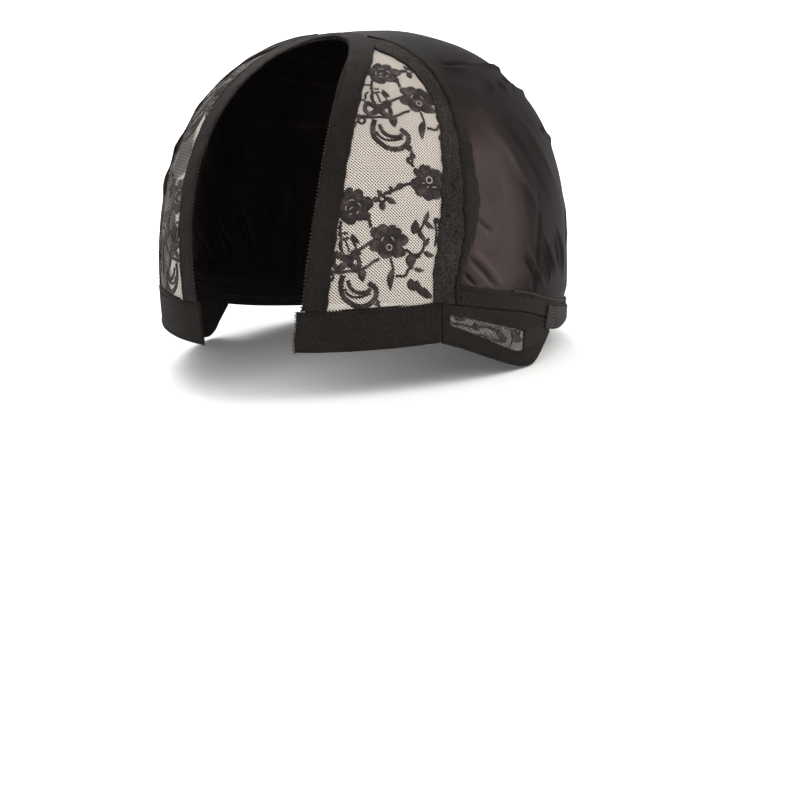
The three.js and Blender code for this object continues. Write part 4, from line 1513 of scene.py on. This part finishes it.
light_dashes = [  # middle, length and turn of a narrow opening in the filling
    ((20.0, 5.9), 1.2, 10),
    ((21.9, 4.5), 1.2, 50),
    ((24.8, 4.8), 1.8, 10),
    ((2.5, -17.2), 2.0, 62),
    ((6.4, -17.0), 2.0, -50),
    ((-9.0, -2.6), 2.2, 4),
    ((-6.3, -4.1), 2.0, -45),
    ((-11.2, -5.4), 1.8, 86),
    ((-9.2, -5.6), 2.0, 45),
    ((-9.6, -7.7), 1.3, 0),
    ((-6.8, -7.1), 1.5, 45),
]

# %% Chart of the leaves
leaves = [  # base, tip, greatest width
    ((11.9, 4.4), (8.0, 2.0), 2.1),
    ((6.9, 1.4), (5.9, 3.7), 1.3),
    ((2.5, -0.5), (1.0, 1.6), 1.7),
    ((1.6, -1.9), (-1.3, -2.7), 1.9),
    ((3.0, -2.8), (3.3, -6.2), 2.3),
    ((4.7, -0.9), (8.7, -3.2), 1.9),
    ((5.2, 0.4), (6.8, 1.9), 1.2),
    ((-5.7, -28.0), (-5.8, -33.2), 2.8),
    ((6.6, -28.4), (5.2, -36.9), 2.4),
    ((15.0, -22.9), (14.1, -28.5), 3.8),
    ((15.4, -14.8), (16.8, -9.2), 3.1),
    ((18.1, -13.5), (20.4, -17.1), 1.9),
    ((20.0, -19.3), (22.5, -15.9), 1.9),
    ((20.6, -9.3), (22.3, -5.2), 1.7),
    ((20.5, -9.0), (25.1, -12.1), 1.9),
    ((25.1, -7.9), (28.6, -8.9), 2.0),
    ((20.2, -21.9), (24.7, -23.2), 1.9),
    ((13.8, -32.6), (15.8, -37.4), 3.2),
    ((16.6, -33.3), (19.4, -39.4), 2.5),
    ((18.6, -36.2), (23.8, -40.2), 3.0),
    ((15.6, -28.5), (20.2, -29.2), 1.4),
    ((-9.4, -15.0), (-6.5, -18.8), 1.6),
    ((-21.2, -31.2), (-23.6, -35.6), 3.0),
    ((-14.6, -14.9), (-12.9, -14.5), 1.2),
]

# %% Chart of the stems, the bow and the crescents
stems = [  # width, then points along it
    (1.0, [(14.8, 5.3), (11.8, 4.3), (8.4, 2.3), (4.3, 0.6), (3.0, -1.0)]),
    (1.1, [(-2.6, -9.4), (-2.0, -12.6)]),
    (0.9, [(-5.7, -28.0), (-4.1, -27.5), (-1.7, -25.8), (0.8, -24.7)]),
    (0.8, [(5.5, -24.4), (6.0, -26.4), (6.6, -28.6)]),
    (0.9, [(7.6, -31.6), (8.5, -31.4), (11.5, -31.4), (13.2, -28.8), (14.6, -28.2)]),
    (0.8, [(14.6, -28.8), (15.0, -25.2), (18.4, -23.6)]),
    (0.9, [(12.0, -21.2), (15.4, -23.1), (19.0, -22.2), (20.2, -19.4), (20.3, -16.4), (18.6, -13.6)]),
    (0.8, [(18.4, -13.6), (19.9, -11.0), (20.6, -9.0)]),
    (0.8, [(25.0, -8.4), (25.9, -11.6), (26.0, -15.0), (25.3, -19.2)]),
    (0.9, [(-13.3, -10.2), (-13.7, -13.7), (-13.6, -16.6), (-13.7, -20.7), (-13.3, -21.9)]),
    (0.6, [(-17.4, -12.6), (-13.8, -12.7)]),
    (0.7, [(-20.1, -20.4), (-18.3, -20.6), (-16.9, -21.2), (-16.1, -22.6)]),
    (0.7, [(-15.1, -16.6), (-16.3, -17.7), (-16.5, -20.5)]),
    (0.8, [(-12.6, -14.8), (-10.9, -14.7)]),
    (0.8, [(-12.7, -16.9), (-10.6, -16.4)]),
    (0.5, [(-12.5, -16.7), (-14.3, -18.3), (-14.1, -20.6), (-12.5, -22.4)]),
    (0.6, [(-12.2, -16.7), (-11.2, -19.5), (-10.7, -21.8)]),
    (0.7, [(-9.9, -16.4), (-8.8, -18.4), (-8.0, -20.5), (-10.1, -21.9)]),
    (1.0, [(-15.9, -22.6), (-13.8, -23.1), (-11.5, -23.3), (-9.2, -22.5), (-5.7, -20.3),
           (-0.4, -17.1)]),
    (2.1, [(-16.2, -22.2), (-14.0, -23.3), (-11.9, -25.0), (-9.9, -27.0), (-7.8, -28.5)]),
    (2.1, [(-6.7, -21.5), (-9.0, -23.4), (-12.0, -25.9), (-15.1, -28.0)]),
    (1.5, [(-16.2, -22.4), (-17.0, -25.2), (-16.2, -27.6), (-14.8, -28.6)]),
    (1.5, [(-7.4, -28.6), (-7.0, -26.2), (-7.6, -23.8), (-8.6, -22.9)]),
    (0.9, [(-21.0, -28.4), (-18.1, -28.8), (-15.1, -29.4), (-11.4, -28.9), (-7.2, -29.2)]),
    (1.7, [(-13.5, -30.4), (-14.5, -33.8), (-14.1, -37.9), (-11.8, -40.6), (-8.3, -42.5),
           (-4.0, -42.1), (-1.2, -39.6), (-0.8, -36.1), (-3.7, -33.6)]),
    (1.3, [(-11.8, -32.4), (-10.7, -35.4), (-8.1, -37.2), (-4.5, -37.1), (-2.9, -36.0)]),
    (0.8, [(-13.1, -35.6), (-12.0, -37.7), (-9.7, -38.9), (-6.3, -38.8), (-3.0, -37.7)]),
    (0.9, [(-0.7, -40.2), (-0.1, -42.0), (1.0, -44.7), (-1.3, -46.6), (1.1, -48.8)]),
]
loops = [  # middle, radius, width of the ring
    ((2.9, -1.6), 1.3, 1.0),
    ((-18.6, -30.9), 1.3, 1.0),
    ((-21.0, -30.4), 1.3, 1.0),
    ((0.7, -44.5), 0.8, 0.9),
    ((-0.6, -41.4), 0.9, 0.8),
    ((-0.6, -46.6), 1.1, 0.9),
]

# %% Shapes of the lace filling
def heading_of(line):
    return unit(np.gradient(line, axis=0))


def flat_strip(points, widths, steps):
    """Rows of flat points for a strip with a width along it."""
    line = smooth_line(points, 10)
    shares = np.linspace(0, 1, steps)
    spine = along(line, shares)
    ahead = heading_of(spine)
    side = np.stack([-ahead[:, 1], ahead[:, 0]], -1)
    across = np.linspace(-0.5, 0.5, 5)
    return spine[:, None] + side[:, None] * (widths(shares)[:, None] * across)[..., None]


def leaf_rows(base, tip, width):
    base, tip = np.array(base), np.array(tip)
    bow = np.array([tip[1] - base[1], base[0] - tip[0]]) * 0.08
    middle = (base + tip) / 2 + bow

    def widths(shares):
        return 1.2 * width * np.sin(math.pi * np.clip(shares, 0.03, 0.97) ** 0.8) ** 0.8

    return flat_strip([base, middle, tip], widths, 14)


def stem_rows(points, width):
    length = run_of(np.array(points, float))[-1]
    steps = max(6, int(length / 0.5))
    return flat_strip(points, lambda s: width * (1.2 + 0.2 * np.sin(s * length * 4.5)), steps)


def loop_rows(middle, radius, width):
    turn = np.linspace(0, 2 * math.pi, 21)[:-1]
    reach = radius + width * np.linspace(-0.5, 0.5, 5)
    way = np.stack([np.cos(turn), np.sin(turn)], -1)
    return np.array(middle) + way[:, None] * reach[None, :, None]


def dash_rows(middle, length, turn):
    way = np.array([math.cos(math.radians(turn)), math.sin(math.radians(turn))]) * length / 2
    bow = np.array([-way[1], way[0]]) * 0.25
    ends = [np.array(middle) - way, np.array(middle) + bow, np.array(middle) + way]
    return flat_strip(ends, lambda s: 0.62 * np.sin(math.pi * np.clip(s, 0.06, 0.94)) ** 0.5, 7)


rosette_turns = np.arange(0, 360, 2.0)
rosette_shares = np.array([0.02, 0.16, 0.32, 0.48, 0.62, 0.75, 0.86, 0.94, 0.98, 1.0])


def rosette_reach(outline):
    """A rosette's reach at each turn: its petals are round, and the notches between them sharp."""
    turn, reach = np.array(outline, float).T
    turn = np.concatenate([turn[-1:] - 360, turn, turn[:1] + 360])
    reach = np.concatenate([reach[-1:], reach, reach[:1]])
    k = np.searchsorted(turn, rosette_turns, side="right") - 1
    share = (rosette_turns - turn[k]) / (turn[k + 1] - turn[k]) * math.pi / 2
    start, end = reach[k], reach[k + 1]
    rising = start + (end - start) * np.sin(share)
    falling = end + (start - end) * np.cos(share)
    ripple = 0.12 * np.sin(np.radians(rosette_turns) * 49)
    return np.where(end > start, rising, falling) + ripple


def rosette_rows(middle, outline):
    """Rings of a disc out to its petals' edge."""
    turn = np.radians(rosette_turns)
    way = np.stack([np.cos(turn), np.sin(turn)], -1)
    reach = rosette_reach(outline)[:, None] * rosette_shares
    return np.array(middle) + way[:, None] * reach[..., None]


def rosette_dome(outline):
    """The relief of a rosette: raised petals, with a groove running in from each deep notch."""
    rise = np.interp(rosette_shares, [0, 0.3, 0.85, 0.95, 1.0], [0.65, 0.8, 1.0, 0.8, 0.25])[None, :]
    turn, reach = np.array(outline, float).T
    groove = 0
    for k in range(len(turn)):
        depth = min(reach[k - 1], reach[(k + 1) % len(reach)]) - reach[k]
        if depth > 0.4:
            off = (rosette_turns - turn[k] + 180) % 360 - 180
            away = np.radians(off)[:, None] * 7 * rosette_shares[None, :]
            near = np.clip((rosette_shares - 0.25) / 0.5, 0, 1)[None, :]
            groove = np.maximum(groove, near * np.exp(-((away / 0.55) ** 2)))
    return rise * (1 - 0.75 * groove)


# %% Lay the flowers on the panels
filling_bottom = 0.42
filling_top = 0.86


def filling_skin(flat_map, rows, place, dome, ring=False, stand=0.0):
    """A raised skin of filling over rows of flat points."""
    on_form = flat_map.lay(rows, np.zeros(rows.shape[:2]), place)
    bottom = np.full(rows.shape[:2], filling_bottom) + stand
    return skin("filling", on_form, bottom, bottom + (filling_top - filling_bottom) * dome, ring=ring)


strip_dome = np.array([0.3, 0.85, 1.0, 0.85, 0.3])[None, :]


def joined(name, meshes, material):
    """Many small meshes as one piece."""
    points, faces, uvs, start = [], [], [], 0
    for mesh in meshes:
        coordinates = np.empty(len(mesh.vertices) * 3)
        mesh.vertices.foreach_get("co", coordinates)
        corners = np.empty(len(mesh.loops), int)
        mesh.loops.foreach_get("vertex_index", corners)
        uv = np.empty(len(mesh.loops) * 2)
        mesh.uv_layers[0].data.foreach_get("uv", uv)
        points.append(coordinates.reshape(-1, 3))
        faces.append(corners.reshape(-1, 4) + start)
        uvs.append(uv)
        start += len(mesh.vertices)
        bpy.data.meshes.remove(mesh)
    whole = bpy.data.meshes.new(name)
    whole.from_pydata(np.concatenate(points).tolist(), [], np.concatenate(faces).tolist())
    whole.uv_layers.new(name="UVMap").data.foreach_set("uv", np.concatenate(uvs))
    whole.shade_smooth()
    return piece(name, whole, material)


def flowers(name, flat_map, shifts, allowed, place):
    """The charted flowers, repeated by shifts, where allowed says that the lace runs."""
    filling, eyelets = [], []
    for shift in shifts:
        for middle, outline in rosettes:
            if allowed(np.array(middle) + shift, 7):
                rows = rosette_rows(np.array(middle) + shift, outline)
                filling.append(filling_skin(flat_map, rows, place, rosette_dome(outline), ring=True))
        for middle, radius, width in light_rings:
            if allowed(np.array(middle) + shift, 1):
                rows = loop_rows(np.array(middle) + shift, radius, width)
                eyelets.append(filling_skin(flat_map, rows, place, strip_dome, ring=True, stand=0.1))
        for middle, length, turn in light_dashes:
            if allowed(np.array(middle) + shift, 1):
                rows = dash_rows(np.array(middle) + shift, length, turn)
                eyelets.append(filling_skin(flat_map, rows, place, strip_dome, stand=0.1))
        for base, tip, width in leaves:
            if allowed((np.array(base) + tip) / 2 + shift, 3):
                rows = leaf_rows(np.array(base) + shift, np.array(tip) + shift, width)
                filling.append(filling_skin(flat_map, rows, place, strip_dome))
        for width, points in stems:
            if allowed(np.array(points).mean(0) + shift, 4):
                rows = stem_rows(np.array(points) + shift, width)
                filling.append(filling_skin(flat_map, rows, place, strip_dome))
        for middle, radius, width in loops:
            if allowed(np.array(middle) + shift, 2):
                rows = loop_rows(np.array(middle) + shift, radius, width)
                filling.append(filling_skin(flat_map, rows, place, strip_dome, ring=True))
    return [
        joined(f"{name}_flowers", filling, lace_filling),
        joined(f"{name}_eyelets", eyelets, eyelet_yarn),
    ]


def inside_panel(point, reach):
    """True where a shape of a reach round a flat point touches the panel."""
    row = np.interp(point[1], panel_rows[:, 1, 1], np.arange(len(panel_rows)))
    k = int(round(row))
    front, rear = panel_rows[k, 0, 0], panel_rows[k, 2, 0]
    low, high = panel_rows[0, 1, 1], panel_rows[-1, 1, 1]
    beyond = reach - 2
    return front - beyond < point[0] < rear + beyond and low - beyond < point[1] < high + beyond


def make_panel_flowers(side, place):
    shifts = [k * repeat for k in (-1, 0, 1)]
    return flowers(f"lace_{side}", panel_map, shifts, inside_panel, place)


panel_flowers = both_sides(make_panel_flowers)

# %% [markdown]
# The tab windows are cut from the same lace, but they are so small that only parts of a flower
# fall into them. So they get a few leaves, stems and a loop of their own, placed by bearing and
# height. The net's holes are larger here, because the tab is stretched the most.

# %% Bits of flowers in the ear tabs' windows
tab_leaves = [  # bearing and height of base and tip, greatest width
    ((73.2, -16.6), (77.4, -21.6), 2.6),
    ((79.0, -18.8), (83.8, -24.0), 3.4),
    ((59.0, -7.2), (62.4, -9.8), 1.8),
    ((65.4, -11.8), (67.0, -15.4), 1.8),
    ((69.0, -18.0), (71.6, -19.6), 1.6),
]
tab_stems = [  # width, then bearing and height of points along it
    (0.8, [(57.0, -9.6), (61.0, -11.4), (65.4, -13.4), (69.8, -14.6), (74.0, -17.6)]),
    (0.7, [(65.0, -16.4), (68.6, -17.6), (72.4, -20.4), (76.8, -22.6)]),
    (0.7, [(83.8, -19.6), (80.4, -21.4), (78.6, -24.6)]),
]
tab_loops = [((81.4, -20.6), 1.9, 0.8)]


def on_tab(bearing_and_height):
    return tab_map.flatten(at_bearing(*np.array(bearing_and_height, float).T))


def make_tab_flowers(side, place):
    rows = [leaf_rows(*on_tab([base, tip]), width) for base, tip, width in tab_leaves]
    rows += [stem_rows(on_tab(points), width) for width, points in tab_stems]
    filling = [filling_skin(tab_map, row, place, strip_dome) for row in rows]
    for middle, radius, width in tab_loops:
        row = loop_rows(on_tab([middle])[0], radius, width)
        filling.append(filling_skin(tab_map, row, place, strip_dome, ring=True))
    return joined(f"tab_flowers_{side}", filling, lace_filling)


tab_flowers = both_sides(make_tab_flowers)

# %% [markdown]
# Every band is sewn down with rows of stitches. One tree makes them all: it spaces stitches
# along a seam, turns each to the seam's direction and swings it to one side and the other, so
# that a swing of nothing gives a straight row and a wide swing gives a zigzag.


# %% The stitch tree
def stitch_tree():
    tree, given, out = node_tree(
        "stitches",
        {
            "Pitch": "Float",
            "Length": "Float",
            "Thickness": "Float",
            "Swing": "Float",
            "Wander": "Float",
            "Material": "Material",
        },
    )
    curve = add(tree, "GeometryNodeMeshToCurve", Mesh=given["Geometry"])
    spaced = add(
        tree, "GeometryNodeResampleCurve", {"mode": "LENGTH"}, Curve=curve.outputs[0],
        Length=given["Pitch"],
    )
    ball = add(tree, "GeometryNodeMeshUVSphere", Segments=6, Rings=4, Radius=0.5)
    size = vector(tree, given["Length"], given["Thickness"], given["Thickness"])
    stitch = add(tree, "GeometryNodeTransform", Geometry=ball.outputs[0], Scale=size)
    smooth = add(tree, "GeometryNodeSetShadeSmooth", Geometry=stitch.outputs[0])
    out_of_cloth = add(
        tree, "GeometryNodeInputNamedAttribute", {"data_type": "FLOAT_VECTOR"}, Name="outward"
    )
    ahead = add(tree, "GeometryNodeInputTangent").outputs[0]
    facing = add(
        tree, "FunctionNodeAxesToRotation", {"primary_axis": "Z", "secondary_axis": "X"},
        Primary_Axis=out_of_cloth.outputs[0], Secondary_Axis=ahead,
    )
    index = add(tree, "GeometryNodeInputIndex").outputs[0]
    chance = add(tree, "FunctionNodeRandomValue", {"data_type": "FLOAT"}, Min=-1.0, Max=1.0, Seed=5)
    swing = maths(tree, "MULTIPLY", parity(tree, index), given["Swing"])
    swing = maths(tree, "MULTIPLY_ADD", chance.outputs["Value"], given["Wander"], swing)
    swung = add(
        tree, "FunctionNodeRotateRotation", {"rotation_space": "LOCAL"}, Rotation=facing.outputs[0],
        Rotate_By=add(tree, "FunctionNodeEulerToRotation", Euler=vector(tree, z=swing)).outputs[0],
    )
    placed = add(
        tree, "GeometryNodeInstanceOnPoints", Points=spaced.outputs[0], Instance=smooth.outputs[0],
        Rotation=swung.outputs[0],
    )
    real = add(tree, "GeometryNodeRealizeInstances", Geometry=placed.outputs[0])
    painted = add(
        tree, "GeometryNodeSetMaterial", Geometry=real.outputs[0], Material=given["Material"]
    )
    tree.links.new(painted.outputs[0], out)
    return tree


stitches = stitch_tree()


def seam(name, line, lift, material, pitch, length, thickness, swing=0.0, wander=0.08):
    """A row of stitches along a line on the form."""
    normal = outward(line)
    base = bpy.data.meshes.new(name)
    edges = [(k, k + 1) for k in range(len(line) - 1)]
    base.from_pydata(((line + normal * lift) * MM).tolist(), edges, [])
    base.attributes.new("outward", "FLOAT_VECTOR", "POINT").data.foreach_set("vector", normal.ravel())
    sizes = {
        "Pitch": pitch * MM,
        "Length": length * MM,
        "Thickness": thickness * MM,
        "Swing": math.radians(swing),
        "Wander": wander,
    }
    return grown(name, base, stitches, material, sizes)


# %% [markdown]
# Each seam below has its own pitch, thread and swing. The slot's edge has small picots, the
# arch band has one row along the lace and two where tape and fold meet, and the hems' cut ends
# get frayed threads, which are stitches laid across the end and turned about by chance.

# %% Sew the bands down
def slot_line(distance):
    return beside(slot_edge, slot_shares, distance)


outer_stitch_line = slot_line(slot_band_width - 1.1)
lower_stitch_line = back_line_at(back_band_width - 1.2)
seams = [
    seam("slot_picot", slot_line(-0.12), 0.9, black_thread, 1.5, 1.0, 0.72, 68, 0.25),
    seam("slot_picot_thread", slot_line(0.1), 1.12, tan_thread, 1.5, 0.7, 0.4, 0, 0.5),
    seam("slot_overlock", slot_line(0.75), 1.32, black_thread, 1.3, 1.5, 0.32, 40, 0.15),
    seam("slot_outer_stitch", outer_stitch_line, 1.4, black_thread, 1.7, 1.7, 0.32, 28),
    seam("back_upper_stitch", back_line_at(1.3), 1.38, black_thread, 2.1, 1.8, 0.36, 24),
    seam("back_lower_stitch", lower_stitch_line, 1.38, brown_thread, 2.6, 1.9, 0.34, 0, 0.2),
]


def sew_arch(side, place):
    lace_edge = place(arch_line(0.05))
    join_line = place(arch_line(tape_rear - 0.02))
    inner_join = place(arch_line(tape_rear - 0.12))
    return [
        seam(f"arch_lace_stitch_{side}", lace_edge, 1.32, brown_thread, 1.5, 1.5, 0.46, 38, 0.3),
        seam(f"arch_join_stitch_{side}", join_line, 1.4, black_thread, 1.9, 1.8, 0.38, 20),
        seam(f"arch_inner_stitch_{side}", inner_join, 1.42, brown_thread, 2.4, 1.2, 0.3, 50, 0.3),
    ]


hem_seam_start = 16.5


def sew_hem(side, place):
    bearing = np.linspace(hem_seam_start, hem_rear_bearing - 0.5, 60)
    upper = place(at_bearing(bearing, front_hem_top - 1.2))
    lower = place(at_bearing(bearing, 1.2 - front_hem_depth))
    raw_end = hem_ends[side]
    return [
        seam(f"hem_fray_{side}", raw_end, 0.95, black_thread, 0.42, 2.4, 0.2, 90, 0.55),
        seam(f"hem_fray_low_{side}", raw_end, 0.62, brown_thread, 0.66, 1.9, 0.16, 90, 0.7),
        seam(f"hem_upper_stitch_{side}", upper, 1.42, black_thread, 1.8, 1.8, 0.34, 25),
        seam(f"hem_lower_stitch_{side}", lower, 1.42, black_thread, 2.2, 2.0, 0.32, 0),
    ]


def sew_tab(side, place):
    turn = np.linspace(0.03, 0.97, 80)
    head, _, _, foot = tab_heights(turn)
    lower = place(at_bearing(tab_bearing(turn), foot + 1.6))
    inner = np.linspace(window_front, window_rear, 50)
    _, window_head, window_foot, _ = tab_heights(inner)
    return [
        seam(f"tab_rim_stitch_{side}", lower, 1.45, black_thread, 2.0, 1.9, 0.34, 0),
        seam(f"tab_window_head_{side}", place(at_bearing(tab_bearing(inner), window_head + 0.7)), 1.35,
             brown_thread, 1.6, 1.5, 0.34, 40, 0.2),
        seam(f"tab_window_foot_{side}", place(at_bearing(tab_bearing(inner), window_foot - 0.7)), 1.35,
             black_thread, 1.8, 1.6, 0.34, 30, 0.2),
    ]


for made in both_sides(sew_arch) + both_sides(sew_hem) + both_sides(sew_tab):
    seams.extend(made)

# %% [markdown]
# The camera looks at the cap's left front, slightly from above, through a long lens. It is aimed
# below the cap, so that the cap sits in the upper left of the picture as it does in the
# photograph, and no lens shift is needed.

# %% Camera
view_azimuth, view_elevation = 28.54, 8.25
view_distance = 1.40
aim_turn, aim_drop = -0.548, 4.0
camera_roll = -1.32
focal_pixels = 3441.7
looked_at = np.array([0.0, 0.0, -51.0]) * MM


def back_way(azimuth, elevation):
    a, e = math.radians(azimuth), math.radians(elevation)
    return np.array([math.sin(a) * math.cos(e), -math.cos(a) * math.cos(e), math.sin(e)])


camera_data = bpy.data.cameras.new("camera")
camera_data.sensor_width = 36.0
camera_data.lens = focal_pixels * 36.0 / 800.0
camera_data.clip_start = 0.05
camera_data.clip_end = 50.0
camera = bpy.data.objects.new("camera", camera_data)
scene.collection.objects.link(camera)
from mathutils import Matrix, Vector

camera.location = looked_at + back_way(view_azimuth, view_elevation) * view_distance
facing = Vector(back_way(view_azimuth + aim_turn, view_elevation + aim_drop)).to_track_quat("Z", "Y")
camera.rotation_mode = "QUATERNION"
tilt = Matrix.Rotation(math.radians(camera_roll), 3, "Z").to_quaternion()
camera.rotation_quaternion = facing @ tilt
scene.camera = camera

# %% [markdown]
# The cap stands on a plain pale floor under soft studio lights: a large soft box on the wearer's
# left gives the crown its broad glow, a second in front keeps the black bands readable, a third
# behind shows the folds at the back, and the pale surroundings lift the shadows. The standard
# view transform keeps black cloth black and the pale floor white.

# %% Floor
floor_level = cad_box[0][2] - 0.0002
floor_half = 8.0
floor_mesh = bpy.data.meshes.new("floor")
floor_corners = [(-1, -1), (1, -1), (1, 1), (-1, 1)]
floor_points = [(x * floor_half, y * floor_half, floor_level) for x, y in floor_corners]
floor_mesh.from_pydata(floor_points, [], [(0, 1, 2, 3)])
floor_material, _, floor_shader = new_material("pale_floor")
floor_shader.inputs["Base Color"].default_value = (0.93, 0.93, 0.925, 1.0)
floor_shader.inputs["Roughness"].default_value = 0.7
floor = piece("floor", floor_mesh, floor_material)


# %% Lights
def soft_box(name, azimuth, elevation, distance, size, power, colour):
    """A square area light that points at the cap."""
    data = bpy.data.lights.new(name, "AREA")
    data.shape = "SQUARE"
    data.size = size
    data.energy = power
    data.color = colour
    light = bpy.data.objects.new(name, data)
    scene.collection.objects.link(light)
    way = Vector(back_way(azimuth, elevation))
    light.location = Vector(looked_at) + way * distance
    light.rotation_mode = "QUATERNION"
    light.rotation_quaternion = way.to_track_quat("Z", "Y")
    return light


soft_box("key", 108, 36, 1.6, 1.1, 14, (1.0, 0.97, 0.94))
soft_box("front", 8, 42, 1.8, 1.3, 8, (1.0, 0.98, 0.96))
soft_box("rim", 225, 34, 1.6, 0.9, 19, (0.98, 0.98, 1.0))

world = bpy.data.worlds.new("studio")
world.use_nodes = True
world.node_tree.nodes["Background"].inputs["Color"].default_value = (1.0, 1.0, 1.0, 1.0)
world.node_tree.nodes["Background"].inputs["Strength"].default_value = 1.0
scene.world = world
scene.view_settings.view_transform = "Standard"


# %% [markdown]
# At the end each piece rides on the part's one body and stands for the plain solid that it
# dresses. For the lace and the crown, the area that they are cut to before they are stretched
# over the head is printed.

# %% Hand the pieces over
def half_surface(made):
    """About the area of one side of a closed skin, in square metres."""
    return sum(face.area for face in made.data.polygons) / 2


def cut_area(rows):
    """The area of a flat cut of cloth, in square metres, from its rows of points."""
    edge = np.vstack([rows[:, 0], rows[::-1, -1]])
    after = np.roll(edge, -1, axis=0)
    return abs((edge[:, 0] * after[:, 1] - edge[:, 1] * after[:, 0]).sum()) / 2 * MM**2


def sheet(made, area):
    """Prints a stretched cloth's area as cut, and half the area of its skin."""
    print(f"{made.name}: cut {area * 1e4:.1f} square cm, half its skin {half_surface(made) * 1e4:.1f}")


def hand_over(made, finish, *nodes):
    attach(made, "root")
    if nodes:
        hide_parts(*nodes)


hand_over(crown_piece, "stretch_cloth", "crown")
hand_over(slot_band, "elastic_band", "slot_band")
hand_over(back_band, "elastic_band", "back_band")
hand_over(back_piping, "elastic_band")
hand_over(strap, "strap_elastic", "nape_strap")
for k, side in enumerate(("left", "right")):
    hand_over(arch_tapes[k], "elastic_band", f"arch_band_{side}")
    hand_over(arch_folds[k], "elastic_band")
    hand_over(front_hems[k], "elastic_band", f"front_hem_{side}")
    hand_over(tab_bindings[k], "elastic_band", f"ear_tab_binding_{side}")
    hand_over(panel_nets[k], "lace", f"lace_panel_{side}")
    hand_over(tab_nets[k], "lace", f"ear_tab_lace_{side}")
    for made in panel_flowers[k]:
        hand_over(made, "lace")
    for made in joint_strips[k]:
        hand_over(made, "elastic_band")
    hand_over(tab_flowers[k], "lace")
for made in seams:
    hand_over(made, "elastic_band")

crown_stretch = 1.1
sheet(crown_piece, half_surface(crown_piece) / crown_stretch)
for k, side in enumerate(("left", "right")):
    sheet(panel_nets[k], cut_area(panel_rows))
    sheet(tab_nets[k], cut_area(tab_rows))
